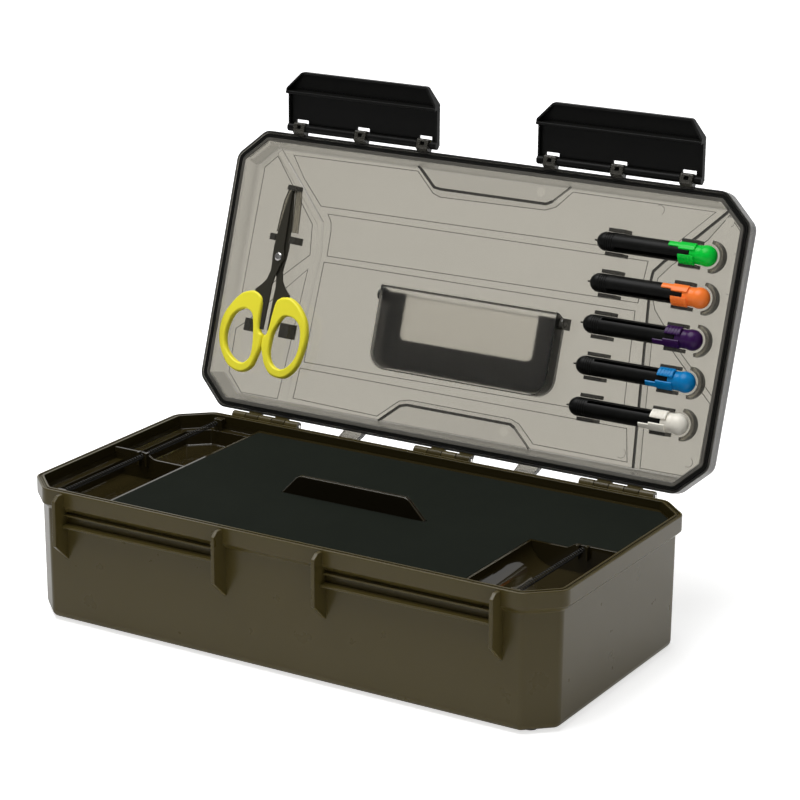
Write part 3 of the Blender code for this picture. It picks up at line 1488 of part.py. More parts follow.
def make_everything():
    clear_scene()
    olive = material("olive_plastic", OLIVE)
    foam = material("charcoal_foam", CHARCOAL)
    black = material("black_plastic", BLACK)
    smoke = material("smoky_plastic", SMOKE)
    seal = material("seal_rubber", DARK_SEAL)
    steel = material("bright_steel", STEEL)
    dark_steel = material("dark_steel", DARK_STEEL)
    yellow = material("yellow_plastic", YELLOW)
    rubber = material("foot_rubber", RUBBER)

    root = empty("box_frame", (0, 0, 0))
    tray_frame = empty("tray_frame", (0, 0, 0), root)
    lid_frame = empty("lid_frame", (0, AXIS_Y, AXIS_Z), root, (-LID_OPEN_ANGLE, 0, 0))
    bpy.context.view_layer.update()

    make_base(olive, root)
    make_feet(rubber, root)
    make_pins(steel, root)
    make_tray(olive, tray_frame)
    make_foam(foam, tray_frame)
    for name, (x, y0, y1) in post_depths().items():
        make_spring(f"rig_spring_{name}", dark_steel, tray_frame, x, y0, y1)
    make_lid(smoke, lid_frame)
    make_seal(seal, lid_frame)
    for word, span in zip(("left", "right"), latch_spans()):
        frame = empty(f"latch_{word}_frame", lid_point(0, ROD_T, 0), lid_frame, (LATCH_TILT, 0, 0))
        bpy.context.view_layer.update()
        make_latch(f"latch_{word}", black, frame, span)
    bin_frame = empty("bin_frame", lid_point(BIN_X, PIVOT_T, PIVOT_LEVEL), lid_frame)
    bpy.context.view_layer.update()
    make_bin(smoke, bin_frame)
    make_scissors((dark_steel, yellow, steel), lid_frame)
    for number, (t, (word, colour)) in enumerate(zip(tool_rows(), TOOL_COLOURS)):
        look = material(f"{word}_plastic", (colour, 0.35, 0.0))
        way = -1 if number < 3 else 1
        make_tool(word, (black, look, steel), lid_frame, t, way)
    settle(root)


def settle(root):
    """Moves the model so that the middle of its footprint is the origin."""
    bpy.context.view_layer.update()
    graph = bpy.context.evaluated_depsgraph_get()
    lows, highs = Vector((math.inf,) * 3), Vector((-math.inf,) * 3)
    for thing in bpy.context.scene.objects:
        if thing.type == "EMPTY":
            continue
        shown = thing.evaluated_get(graph)
        mesh = shown.to_mesh()
        for vertex in mesh.vertices:
            place = thing.matrix_world @ vertex.co
            lows = Vector(map(min, lows, place))
            highs = Vector(map(max, highs, place))
        shown.to_mesh_clear()
    root.location = (-(lows.x + highs.x) / 2, -(lows.y + highs.y) / 2, -lows.z)
    bpy.context.view_layer.update()
    print("frame offset", [round(value, 6) for value in root.location])


make_everything()
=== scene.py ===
"""Looks of a tackle accessory box: a deep olive box with a lift-out tray, and a smoky see-through lid
that carries scissors, five retracting needle tools and a small bin.

Lengths in the drawing code are millimetres. Pieces of the box are drawn round the rim's centre.
Pieces of the lid are drawn as (x, t, depth): t from the lid's hinge edge, depth from its rim.
"""

import json
import math

import bmesh
import bpy
from mathutils import Matrix, Vector


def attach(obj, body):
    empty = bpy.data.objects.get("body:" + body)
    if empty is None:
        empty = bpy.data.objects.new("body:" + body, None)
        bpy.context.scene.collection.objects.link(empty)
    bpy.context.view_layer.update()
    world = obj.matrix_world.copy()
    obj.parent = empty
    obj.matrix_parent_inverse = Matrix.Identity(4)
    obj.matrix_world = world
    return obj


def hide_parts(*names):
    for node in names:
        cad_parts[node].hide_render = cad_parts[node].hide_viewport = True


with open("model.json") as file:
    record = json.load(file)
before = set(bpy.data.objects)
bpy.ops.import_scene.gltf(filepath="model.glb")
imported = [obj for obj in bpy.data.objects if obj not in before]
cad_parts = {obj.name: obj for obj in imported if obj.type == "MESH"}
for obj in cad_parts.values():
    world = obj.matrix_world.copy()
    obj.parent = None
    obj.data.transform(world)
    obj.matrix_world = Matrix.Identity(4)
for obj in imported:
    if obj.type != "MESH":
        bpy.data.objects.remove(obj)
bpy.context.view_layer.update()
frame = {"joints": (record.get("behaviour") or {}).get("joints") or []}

bl_info = {
    "name": "Tackle Box Maker",
    "version": (1, 0, 0),
    "blender": (4, 5, 0),
    "location": "3D View > Sidebar > Tackle Box",
    "description": "Builds a hinged tackle box with its tray, tools and studio stage",
    "category": "Object",
}

MM = 0.001
HINGE = next(Vector(joint["pos_m"]) for joint in frame["joints"] if joint["name"] == "lid_hinge")

# Material slots that a mesh keeps through a cut
LOOK_SLOTS = 8
# Faces of more square metres than this are shaded flat
BROAD_FACE = 0.002
# Edges that bend by more degrees than this are rounded
HARD_EDGE = 28
# The play round a piece that turns or slides, in millimetres
PLAY = 0.3

# The box, in millimetres round the rim's centre
HALF_X = 185.0
HALF_Y = 91.5
CUT_X = 19.3
CUT_Y = 18.1
CORNER = 9.0
HEIGHT = 85.0
WALL = 2.4
WALL_IN = 3.6
WALL_DRAFT = 0.6
BOTTOM_ROUND = 4.5
RIBS = [share * HALF_X for share in (-0.818, -0.188, 0.188, 0.818)]
AXIS_Y = 96.0
AXIS_Z = -0.9
KNUCKLE = 2.9
KNUCKLE_PITCH = 10.3
KNUCKLE_ROWS = [(-0.692 * HALF_X, 5), (0.033 * HALF_X, 4), (0.700 * HALF_X, 5)]
PIN = 1.1
FEET = [(x, y) for x in (-164.0, -0.254 * HALF_X, 164.0) for y in (-74.5, 74.5)]

# The tray
TRAY_IN = 5.1
BAY_IN = 6.7
BODY_IN = 10.3
TRAY_LOW = 20.0
FLOOR = 18.4
STEP = 8.5
SHELF = 10.1
LIP = 4.6
DECK = 8.8
WALL_TOP = -1.2
LEFT_WALL = -124.4
DIVIDER = 1.5
DIVIDER_Y = 0.003 * HALF_Y
CORNER_Y = -0.030 * HALF_Y
CORNER_X = 123.8
SCOOP = 16.5
TAB_X = 4.0
TAB_Y = -0.079 * HALF_Y
TAB_HALF = 50.5
SPRING_LINES = {
    "left_front": (-156.5, -83.2, DIVIDER_Y - 0.75),
    "left_back": (-156.5, DIVIDER_Y + 0.75, 80.8),
    "right": (158.1, -83.2, CORNER_Y),
}
SPRING_LEVEL = -3.1
SPRING_STEPS = 24
# How far a wall reaches into what it stands on, and half the width of a spring's post
ROOT = 0.8
POST = 3.0

# The lid
LID_X = 186.0
LID_T = 185.3
LID_DEPTH = 15.5
LID_FLOOR = 13.0
LID_RIM = 6.6
LID_DRAFT = 3.2
EDGE_BACK = 3.35
EDGE_RISE = 1.4
OPEN_ANGLE = math.radians(108.24)
STOPS = [share * HALF_X for share in (-0.339, 0.357)]

# The latches and their clips
ROD_T = 189.6
ROD = 1.7
LATCH_TILT = math.radians(18)
LATCH_SPANS = {
    "left": (RIBS[0] + 1.65, RIBS[1] - 1.65),
    "right": (RIBS[2] + 1.65, RIBS[3] - 1.65),
}
HOOK = 22.8
HOOK_TIP = 24.6
LATCH_LIP = 12.2
CLIP_SHARES = (-0.83, 0.0, 0.83)
CLIP_HALF = 4.2
CLIP_ROOM = 4.8

# The needle tools, each in its own millimetres along X
TOOL_WORDS = ("white", "blue", "purple", "orange", "green")
TOOL_ROWS = [41.97 + 25.85 * number for number in range(len(TOOL_WORDS))]
TOOL_START = 84.4
TOOL_R = 6.0
TOOL_LEVEL = 6.0
BALL_R = 6.6
NECK_R = 6.0
BARREL_END = 64.0
TOOL_LENGTH = 80.5
SLIDER_TURN = math.radians(42)
TONGUE_TURN = math.radians(85)

# The bin
BIN_X = 4.5
BIN_HALF = 64.5
BIN_LOW = 42.99
BIN_HIGH = 97.08
PIVOT_T = 90.58
PIVOT_DEPTH = 5.0
PIVOT_PLACE = (0, PIVOT_T, PIVOT_DEPTH)
PIVOT = 1.8

# The scissors
SCISSORS_X = 42.3 - LID_X
SCISSORS_T = 0.4746 * LID_T
SCISSORS_TURN = math.radians(-2.0)
SCISSORS_LONG = 127.2
SCISSORS_LEVEL = 5.2
PIVOT_ALONG = 0.626 * SCISSORS_LONG
BLADE = 1.4
BLADE_HALF = 5.2


def flipped(x, t, depth):
    """Sets a drawing at (x, t, depth) with its second axis turned back to front."""
    return Matrix(((1, 0, 0, x), (0, -1, 0, t), (0, 0, 1, depth), (0, 0, 0, 1)))


# To the world: from rim millimetres, from the open lid's x, t and depth, and from a latch's rod
BOX_SPACE = Matrix.Translation(HINGE - Vector((0, AXIS_Y, AXIS_Z)) * MM) @ Matrix.Scale(MM, 4)
LID_SPACE = Matrix.Translation(HINGE) @ Matrix.Rotation(-OPEN_ANGLE, 4, "X") @ Matrix.Scale(MM, 4)
LID_SPACE = LID_SPACE @ flipped(0, -EDGE_BACK, EDGE_RISE)
LATCH_SPACE = LID_SPACE @ flipped(0, ROD_T, 0) @ Matrix.Rotation(LATCH_TILT, 4, "X")


# Drawing


def size(key):
    """A size from the panel, in millimetres."""
    return getattr(bpy.context.scene.tackle_box_sizes, key) / MM


def quarter(steps):
    """Angles from nought to a right angle."""
    return [math.pi / 2 * step / steps for step in range(steps + 1)]


def arc(radius, angles, x=0.0, y=0.0):
    """Places on a circle round (x, y)."""
    return [(x + radius * math.cos(angle), y + radius * math.sin(angle)) for angle in angles]


def both_sides(middle, near, far):
    """The spans that lie from near to far on either side of a middle, low end first."""
    return [sorted((middle + way * near, middle + way * far)) for way in (-1, 1)]


def fillet(points, radius, steps=6):
    """A closed outline with its corners turned into arcs; radius may be one value a corner."""
    radii = radius if isinstance(radius, (list, tuple)) else [radius] * len(points)
    rounded = []
    for index, corner in enumerate(points):
        corner, radius = Vector(corner), radii[index]
        back = (Vector(points[index - 1]) - corner).normalized()
        ahead = (Vector(points[(index + 1) % len(points)]) - corner).normalized()
        if radius <= 0:
            rounded.append(tuple(corner))
            continue
        half = back.angle(ahead) / 2
        centre = corner + (back + ahead).normalized() * (radius / math.sin(half))
        first = corner + back * (radius / math.tan(half)) - centre
        last = corner + ahead * (radius / math.tan(half)) - centre
        sweep = first.angle(last)
        for step in range(steps + 1):
            share = step / steps
            left = math.sin((1 - share) * sweep) / math.sin(sweep)
            right = math.sin(share * sweep) / math.sin(sweep)
            rounded.append(tuple(centre + first * left + last * right))
    return rounded


def octagon(half_x, half_y, inset):
    """A rectangle with cut corners, drawn in by inset, its bends rounded."""
    slope = math.hypot(CUT_X, CUT_Y)
    lean_x, lean_y = CUT_Y / slope, CUT_X / slope
    x, y = half_x - inset, half_y - inset
    near_y = y - CUT_Y + inset - inset * (1 - lean_x) / lean_y
    near_x = x - CUT_X + inset - inset * (1 - lean_y) / lean_x
    points = [
        (near_x, -y), (x, -near_y), (x, near_y), (near_x, y),
        (-near_x, y), (-x, near_y), (-x, -near_y), (-near_x, -y),
    ]
    return fillet(points, max(CORNER - inset, CORNER / 4))


def box_skin(bm, stops):
    """The box's octagon, drawn in and lifted as the (inset, level) stops say."""
    skin(bm, [[(x, y, z) for x, y in octagon(HALF_X, HALF_Y, inset)] for inset, z in stops])


def lid_skin(bm, stops, closed=True):
    """The lid's octagon, drawn in and sunk as the (inset, depth) stops say."""
    skin(bm, [
        [(x, LID_T / 2 - y, depth) for x, y in octagon(LID_X, LID_T / 2, inset)] for inset, depth in stops
    ], closed)


def curved(rounds, steps=4):
    """(inset, level) stops where a bend given as (inset, level, radius) becomes short steps."""
    flat = [(stop[0], stop[1]) for stop in rounds]
    stops = []
    for index, stop in enumerate(rounds):
        if len(stop) == 2 or index in (0, len(rounds) - 1):
            stops.append(flat[index])
            continue
        arc = fillet(flat[index - 1:index + 2], [0, stop[2], 0], steps)
        stops += arc[1:-1]
    return stops


def skin(bm, rings, closed=True, look=0):
    """Faces between rings of equal counts; closed caps the first and the last."""
    rows = [[bm.verts.new(point) for point in ring] for ring in rings]
    pairs = list(zip(rows, rows[1:])) if closed else list(zip(rows, rows[1:] + rows[:1]))
    for low, high in pairs:
        for index in range(len(low)):
            after = (index + 1) % len(low)
            bm.faces.new((low[index], low[after], high[after], high[index])).material_index = look
    if closed:
        bm.faces.new(reversed(rows[0])).material_index = look
        bm.faces.new(rows[-1]).material_index = look


def softened(bm, draw, soft, steps=2):
    """Adds a shape whose hard edges are rounded by soft."""
    small = bmesh.new()
    draw(small)
    bmesh.ops.recalc_face_normals(small, faces=small.faces)
    if soft > 0:
        hard = [edge for edge in small.edges if edge.calc_face_angle(0) > math.radians(HARD_EDGE)]
        bmesh.ops.bevel(
            small, geom=hard, offset=soft, segments=steps, profile=0.5, affect="EDGES", clamp_overlap=True
        )
    mesh = bpy.data.meshes.new("part")
    small.to_mesh(mesh)
    small.free()
    bm.from_mesh(mesh)
    bpy.data.meshes.remove(mesh)


AXES = {
    "x": lambda a, b, level: (level, a, b),
    "y": lambda a, b, level: (a, level, b),
    "z": lambda a, b, level: (a, b, level),
}


def slab(bm, outline, low, high, axis="z", soft=0.0, steps=2, look=0):
    """An outline drawn out between two levels of one axis."""
    put = AXES[axis]
    rings = [[put(a, b, level) for a, b in outline] for level in (low, high)]
    softened(bm, lambda small: skin(small, rings, look=look), soft, steps)


def block(bm, low, high, soft=0.0, steps=2):
    """A cuboid between its lowest and its highest corner."""
    outline = [(low[0], low[1]), (high[0], low[1]), (high[0], high[1]), (low[0], high[1])]
    slab(bm, outline, low[2], high[2], "z", soft, steps)


def lathe(bm, profile, centre=(0, 0, 0), axis="x", sides=40):
    """A solid of revolution: profile lists distances along the axis with their radii."""
    put = AXES[axis]
    angles = [math.tau * step / sides for step in range(sides)]
    rings = []
    for along, radius in profile:
        rings.append([tuple(Vector(put(a, b, along)) + Vector(centre)) for a, b in arc(radius, angles)])
    skin(bm, rings)


def rod(bm, centre, low, high, radius, soft=0.2):
    """A bar along X with rounded ends."""
    ends = [(low, radius - soft), (low + soft * 0.3, radius - soft * 0.3), (low + soft, radius)]
    ends += [(high - soft, radius), (high - soft * 0.3, radius - soft * 0.3), (high, radius - soft)]
    lathe(bm, ends, centre, "x", 32)


def bore(bm, low, high, radius, centre=(0, 0, 0), sides=28):
    """A round hole's cutter along X."""
    lathe(bm, [(low, radius), (high, radius)], centre, "x", sides)


def drawn_in(points, inset):
    """An outline moved inwards along each corner's bisector."""
    count = len(points)
    area = sum(
        points[index - 1][0] * points[index][1] - points[index][0] * points[index - 1][1]
        for index in range(count)
    )
    way = 1 if area > 0 else -1
    moved = []
    for index, (x, y) in enumerate(points):
        before = (Vector((x, y)) - Vector(points[index - 1])).normalized()
        after = (Vector(points[(index + 1) % count]) - Vector((x, y))).normalized()
        normal = (before + after).normalized()
        stretch = 1 / max(0.5, normal.dot(before))
        moved.append((x - way * normal.y * inset * stretch, y + way * normal.x * inset * stretch))
    return moved


def strip(places, width):
    """A bent band's outline round a line of places."""
    places = [Vector(place) for place in places]
    left, right = [], []
    for index, place in enumerate(places):
        before = (place - places[index - 1]).normalized() if index else None
        after = (places[index + 1] - place).normalized() if index + 1 < len(places) else None
        way = ((before or after) + (after or before)).normalized()
        side = way.orthogonal().normalized() * width / 2 / max(0.5, way.dot(before or after))
        left.append(tuple(place + side))
        right.append(tuple(place - side))
    return left + right[::-1]


def flowing(points, steps=5):
    """A closed outline that passes smoothly through its points."""
    made = []
    count = len(points)
    for index in range(count):
        a, b, c, d = (Vector(points[(index + shift) % count]) for shift in (-1, 0, 1, 2))
        for step in range(steps):
            u = step / steps
            made.append(tuple(0.5 * (
                2 * b + (c - a) * u + (2 * a - 5 * b + 4 * c - d) * u * u + (3 * b - a - 3 * c + d) * u ** 3
            )))
    return made


def within(point, outline):
    """Whether a point lies inside a closed outline."""
    inside = False
    for index, (bx, by) in enumerate(outline):
        ax, ay = outline[index - 1]
        if (ay > point.y) != (by > point.y) and point.x < ax + (point.y - ay) * (bx - ax) / (by - ay):
            inside = not inside
    return inside


def bodies_of(draw):
    """A drawing's closed bodies, each as a mesh of its own."""
    bm = bmesh.new()
    draw(bm)
    bmesh.ops.recalc_face_normals(bm, faces=bm.faces)
    meshes = []
    for face in bm.faces:
        face.tag = False
    for first in bm.faces:
        if first.tag:
            continue
        first.tag = True
        body = [first]
        for face in body:
            for edge in face.edges:
                for other in edge.link_faces:
                    if not other.tag:
                        other.tag = True
                        body.append(other)
        order = {}
        faces = [[order.setdefault(vert, len(order)) for vert in face.verts] for face in body]
        mesh = bpy.data.meshes.new("body")
        mesh.from_pydata([tuple(vert.co) for vert in order], [], faces)
        for _ in range(LOOK_SLOTS):
            mesh.materials.append(None)
        mesh.polygons.foreach_set("material_index", [face.material_index for face in body])
        meshes.append(mesh)
    bm.free()
    return meshes


def combined(draw, steps=()):
    """A drawing's bodies joined into one, then changed by each (operation, draw) step."""
    first, *others = bodies_of(draw)
    parts = [("UNION", mesh) for mesh in others]
    for operation, change in steps:
        parts += [(operation, mesh) for mesh in bodies_of(change)]
    holder = bpy.data.objects.new("holder", first)
    bpy.context.scene.collection.objects.link(holder)
    helpers = []
    for operation, mesh in parts:
        helper = bpy.data.objects.new("helper", mesh)
        bpy.context.scene.collection.objects.link(helper)
        modifier = holder.modifiers.new(operation.title(), "BOOLEAN")
        modifier.operation = operation
        modifier.solver = "MANIFOLD"
        modifier.object = helper
        helpers.append(helper)
    bpy.context.view_layer.update()
    graph = bpy.context.evaluated_depsgraph_get()
    made = bpy.data.meshes.new_from_object(holder.evaluated_get(graph))
    for thing in [holder, *helpers]:
        old = thing.data
        bpy.data.objects.remove(thing, do_unlink=True)
        bpy.data.meshes.remove(old)
    return made


def shared(first, second):
    """A drawing of the space that two drawings share."""
    mesh = combined(first, [("INTERSECT", second)])
    corners = [tuple(vertex.co) for vertex in mesh.vertices]
    faces = [tuple(polygon.vertices) for polygon in mesh.polygons]
    bpy.data.meshes.remove(mesh)

    def draw(bm):
        verts = [bm.verts.new(corner) for corner in corners]
        for face in faces:
            bm.faces.new([verts[index] for index in face])
    return draw


def add_piece(
    name, draw, looks, body, nodes=(), space=BOX_SPACE, steps=(), angle=32, choose=None
):
    """Draws a piece, combines it, sets it in the world and lets it ride on its body."""
    mesh = combined(draw, steps)
    mesh.name = name
    bm = bmesh.new()
    bm.from_mesh(mesh)
    if choose:
        for face in bm.faces:
            if face.material_index == 0:
                face.material_index = choose(face.calc_center_median(), face.normal)
    bmesh.ops.transform(bm, matrix=space, verts=bm.verts)
    bmesh.ops.recalc_face_normals(bm, faces=bm.faces)
    mesh.materials.clear()
    for look in looks:
        mesh.materials.append(finish(look))
    bm.to_mesh(mesh)
    bm.free()
    mesh.shade_smooth()
    mesh.set_sharp_from_angle(angle=math.radians(angle))
    for polygon in mesh.polygons:
        if polygon.area > BROAD_FACE:
            polygon.use_smooth = False
    made = bpy.data.objects.new(name, mesh)
    bpy.context.scene.collection.objects.link(made)
    flatter = made.modifiers.new("Weighted Normal", "WEIGHTED_NORMAL")
    flatter.keep_sharp = True
    flatter.weight = 100
    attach(made, body)
    if nodes:
        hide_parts(*nodes)
    return made


# Finishes


def new_group(name, inputs, outputs):
    """An empty shader node group with named sockets."""
    group = bpy.data.node_groups.new(name, "ShaderNodeTree")
    for label, kind, default in inputs:
        socket = group.interface.new_socket(label, in_out="INPUT", socket_type=kind)
        socket.default_value = default
    for label, kind in outputs:
        group.interface.new_socket(label, in_out="OUTPUT", socket_type=kind)
    return group, group.nodes.new("NodeGroupInput"), group.nodes.new("NodeGroupOutput")


def feed(tree, value, socket):
    """Links a node's output to a socket, or sets the socket to a plain value."""
    if hasattr(value, "links"):
        tree.links.new(value, socket)
    else:
        socket.default_value = value


def noise(tree, vector, scale, detail):
    """Cloudy noise from 0 to 1."""
    node = tree.nodes.new("ShaderNodeTexNoise")
    for value, label in ((vector, "Vector"), (scale, "Scale"), (detail, "Detail")):
        feed(tree, value, node.inputs[label])
    return node.outputs["Fac"]


def sum_of(tree, operation, first, second):
    """One sum with two values."""
    node = tree.nodes.new("ShaderNodeMath")
    node.operation = operation
    for value, socket in zip((first, second), node.inputs):
        feed(tree, value, socket)
    return node.outputs[0]


def mixed(tree, share, first, second, kind="MIX"):
    """Two colours mixed; a mix node keeps its colours in the sockets 6 and 7."""
    node = tree.nodes.new("ShaderNodeMix")
    node.data_type = "RGBA"
    node.blend_type = kind
    for value, number in ((share, 0), (first, 6), (second, 7)):
        feed(tree, value, node.inputs[number])
    return node.outputs[2]


def ramp(tree, value, low, high, first=0.0, last=1.0):
    """A value that runs from first to last between low and high."""
    node = tree.nodes.new("ShaderNodeMapRange")
    for label, number in (("From Min", low), ("From Max", high), ("To Min", first), ("To Max", last)):
        node.inputs[label].default_value = number
    tree.links.new(value, node.inputs["Value"])
    return node.outputs["Result"]


def moulded_skin():
    """Moulded plastic: slow colour drift, patches of differing gloss and a fine grain."""
    name = "moulded_skin"
    if name in bpy.data.node_groups:
        return bpy.data.node_groups[name]
    group, source, result = new_group(name, [
        ("Colour", "NodeSocketColor", (0.5, 0.5, 0.5, 1.0)),
        ("Drift", "NodeSocketFloat", 0.1),
        ("Roughness", "NodeSocketFloat", 0.4),
        ("Gloss Change", "NodeSocketFloat", 0.05),
        ("Grain Scale", "NodeSocketFloat", 900.0),
    ], [("Colour", "NodeSocketColor"), ("Roughness", "NodeSocketFloat"), ("Height", "NodeSocketFloat")])
    given = source.outputs
    place = group.nodes.new("ShaderNodeTexCoord").outputs["Object"]
    slow = ramp(group, noise(group, place, 14.0, 3.0), 0.2, 0.8)
    patch = ramp(group, noise(group, place, 55.0, 4.0), 0.15, 0.85, -1.0, 1.0)
    darker = mixed(group, 1.0, given["Colour"], (0.55, 0.55, 0.55, 1.0), "MULTIPLY")
    share = sum_of(group, "MULTIPLY", slow, given["Drift"])
    change = sum_of(group, "MULTIPLY", patch, given["Gloss Change"])
    for value, label in (
        (mixed(group, share, given["Colour"], darker), "Colour"),
        (sum_of(group, "ADD", given["Roughness"], change), "Roughness"),
        (noise(group, place, given["Grain Scale"], 2.0), "Height"),
    ):
        group.links.new(value, result.inputs[label])
    return group


def worn_edges():
    """Painted highlights: paler edges, found from how sharply the surface bends."""
    name = "worn_edges"
    if name in bpy.data.node_groups:
        return bpy.data.node_groups[name]
    group, source, result = new_group(name, [
        ("Colour", "NodeSocketColor", (0.5, 0.5, 0.5, 1.0)),
        ("Edge Colour", "NodeSocketColor", (0.7, 0.7, 0.7, 1.0)),
        ("Amount", "NodeSocketFloat", 0.3),
    ], [("Colour", "NodeSocketColor")])
    given = source.outputs
    bend = group.nodes.new("ShaderNodeNewGeometry").outputs["Pointiness"]
    place = group.nodes.new("ShaderNodeTexCoord").outputs["Object"]
    patchy = ramp(group, noise(group, place, 120.0, 4.0), 0.35, 0.65)
    lit_edges = sum_of(group, "MULTIPLY", ramp(group, bend, 0.52, 0.62), patchy)
    share = sum_of(group, "MULTIPLY", lit_edges, given["Amount"])
    group.links.new(mixed(group, share, given["Colour"], given["Edge Colour"]), result.inputs["Colour"])
    return group


# What a finish has where it says nothing else. Its colour is the panel's of the same name.
USUAL = dict(
    tint=1.0, drift=0.1, change=0.03, grain=500.0, bump=0.004, edge_highlight=0.0,
    metal=0.0, spec=0.5, clear=0.0, ior=1.45,
)
CAP = dict(grain=900.0, bump=0.01)
FINISHES = {
    "olive": dict(rough=0.28, drift=0.04, change=0.012, grain=1400.0, bump=0.008, edge_highlight=0.1, spec=0.36),
    # A darker copy of the olive for the box's inside: painted shade
    "inner_olive": dict(
        colour="olive", tint=0.4, rough=0.3, change=0.02, grain=1400.0, bump=0.008, edge_highlight=0.25, spec=0.25
    ),
    "tray_olive": dict(rough=0.07, drift=0.15, change=0.01, grain=1200.0, edge_highlight=0.3, spec=0.6),
    # A darker copy of the tray's olive for the handle tab: painted shade, with strong painted edge highlights
    "tab_olive": dict(
        colour="tray_olive", tint=0.4, rough=0.4, change=0.02, grain=1200.0, bump=0.01, edge_highlight=0.8, spec=0.15
    ),
    "foam": dict(rough=0.95, drift=0.4, grain=2600.0, bump=0.4, spec=0.05),
    "black": dict(rough=0.42, drift=0.2, change=0.04, grain=1500.0, bump=0.02, edge_highlight=0.2, spec=0.16),
    "seal": dict(rough=0.5, drift=0.3, change=0.05, grain=1500.0, bump=0.03, spec=0.15),
    "smoke": dict(rough=0.2, drift=0.05, change=0.02, clear=0.96),
    # Darker copies of the lid's smoke: painted shade on its channels, grooves, broad lines, walls, right side
    # and rim
    "channel_smoke": dict(colour="smoke", tint=0.84, rough=0.24, drift=0.05, change=0.02, clear=0.96),
    "line_smoke": dict(colour="smoke", tint=0.1, rough=0.2, drift=0.08, clear=0.9),
    "shade_smoke": dict(colour="smoke", tint=0.02, rough=0.25, drift=0.08, clear=0.7),
    "wall_smoke": dict(colour="smoke", tint=0.95, rough=0.2, drift=0.08, clear=0.96),
    "low_smoke": dict(colour="smoke", tint=0.4, rough=0.2, drift=0.08, clear=0.96),
    "side_smoke": dict(colour="smoke", tint=0.1, rough=0.25, clear=0.9, spec=0.12),
    "rim_smoke": dict(colour="smoke", tint=0.055, rough=0.3, clear=0.75, spec=0.1),
    # A paler copy of the lid's smoke for the cups' tops and the pocket's sides: painted light
    "cup_smoke": dict(colour="smoke", tint=1.5, rough=0.25, clear=0.92),
    "dark_smoke": dict(rough=0.25, drift=0.15, change=0.04, clear=0.4, spec=0.3),
    "hinge_smoke": dict(
        colour="olive", tint=0.9, rough=0.3, drift=0.15, change=0.04, bump=0.01, clear=0.2, spec=0.2
    ),
    "bin_smoke": dict(rough=0.34, drift=0.04, change=0.02, clear=1.0, spec=0.12, ior=1.2),
    # A dark copy of the bin's tint for its edges and slopes: painted shade
    "bin_edge": dict(colour="bin_smoke", tint=0.1, rough=0.25, clear=0.95, spec=0.2, ior=1.25),
    # A dark sheet inside the bin: painted shade
    "liner": dict(colour="dark_smoke", tint=0.22, rough=0.6, spec=0.1),
    "yellow": dict(rough=0.42, change=0.04, grain=1800.0, bump=0.03, spec=0.4),
    "foot": dict(rough=0.8, drift=0.3, change=0.05, grain=1500.0, bump=0.1, spec=0.2),
    "steel": dict(rough=0.24, change=0.06, grain=2500.0, bump=0.01, metal=1.0),
    "spring_steel": dict(
        colour="steel", tint=0.05, rough=0.22, drift=0.2, change=0.05, grain=2500.0, bump=0.01, metal=0.7
    ),
    "dark_steel": dict(rough=0.4, drift=0.3, change=0.06, grain=2500.0, bump=0.02, metal=0.3, spec=0.3),
    "white_cap": dict(CAP, rough=0.32, spec=0.4),
    "blue_cap": dict(CAP, rough=0.3, spec=0.25),
    "purple_cap": dict(CAP, rough=0.3, spec=0.25),
    "orange_cap": dict(CAP, rough=0.32, drift=0.08, spec=0.35),
    "green_cap": dict(CAP, rough=0.3, drift=0.08, spec=0.25),
}
SKIN_INPUTS = {"Drift": "drift", "Roughness": "rough", "Gloss Change": "change", "Grain Scale": "grain"}
SHADER_INPUTS = {
    "Metallic": "metal", "Specular IOR Level": "spec", "Transmission Weight": "clear", "IOR": "ior",
}
# How much paler and lighter the painted edge highlights are than the colour
EDGE_PALER = 2.2
EDGE_LIFT = 0.02
BUMP_DISTANCE = 0.0003


def finish(key):
    """The material of one finish, made on first use from the panel's colours."""
    name = f"{key}_finish"
    if name in bpy.data.materials:
        return bpy.data.materials[name]
    facts = {**USUAL, "colour": key, **FINISHES[key]}
    settings = bpy.context.scene.tackle_box_finishes
    colour = [value * facts["tint"] for value in getattr(settings, facts["colour"])]
    made = bpy.data.materials.new(name)
    made.use_nodes = True
    tree = made.node_tree
    shader = tree.nodes["Principled BSDF"]
    skin_node = tree.nodes.new("ShaderNodeGroup")
    skin_node.node_tree = moulded_skin()
    skin_node.inputs["Colour"].default_value = (*colour, 1.0)
    for node, labels in ((skin_node, SKIN_INPUTS), (shader, SHADER_INPUTS)):
        for label, fact in labels.items():
            node.inputs[label].default_value = facts[fact]
    out = skin_node.outputs["Colour"]
    # Paler sharp edges: a painted highlight
    if facts["edge_highlight"]:
        edge_highlight = tree.nodes.new("ShaderNodeGroup")
        edge_highlight.node_tree = worn_edges()
        paler = [min(1.0, value * EDGE_PALER + EDGE_LIFT) for value in colour]
        edge_highlight.inputs["Edge Colour"].default_value = (*paler, 1.0)
        edge_highlight.inputs["Amount"].default_value = facts["edge_highlight"]
        tree.links.new(out, edge_highlight.inputs["Colour"])
        out = edge_highlight.outputs["Colour"]
    bump = tree.nodes.new("ShaderNodeBump")
    bump.inputs["Strength"].default_value = facts["bump"]
    bump.inputs["Distance"].default_value = BUMP_DISTANCE
    tree.links.new(skin_node.outputs["Height"], bump.inputs["Height"])
    tree.links.new(out, shader.inputs["Base Color"])
    tree.links.new(skin_node.outputs["Roughness"], shader.inputs["Roughness"])
    tree.links.new(bump.outputs["Normal"], shader.inputs["Normal"])
    return made


# Box


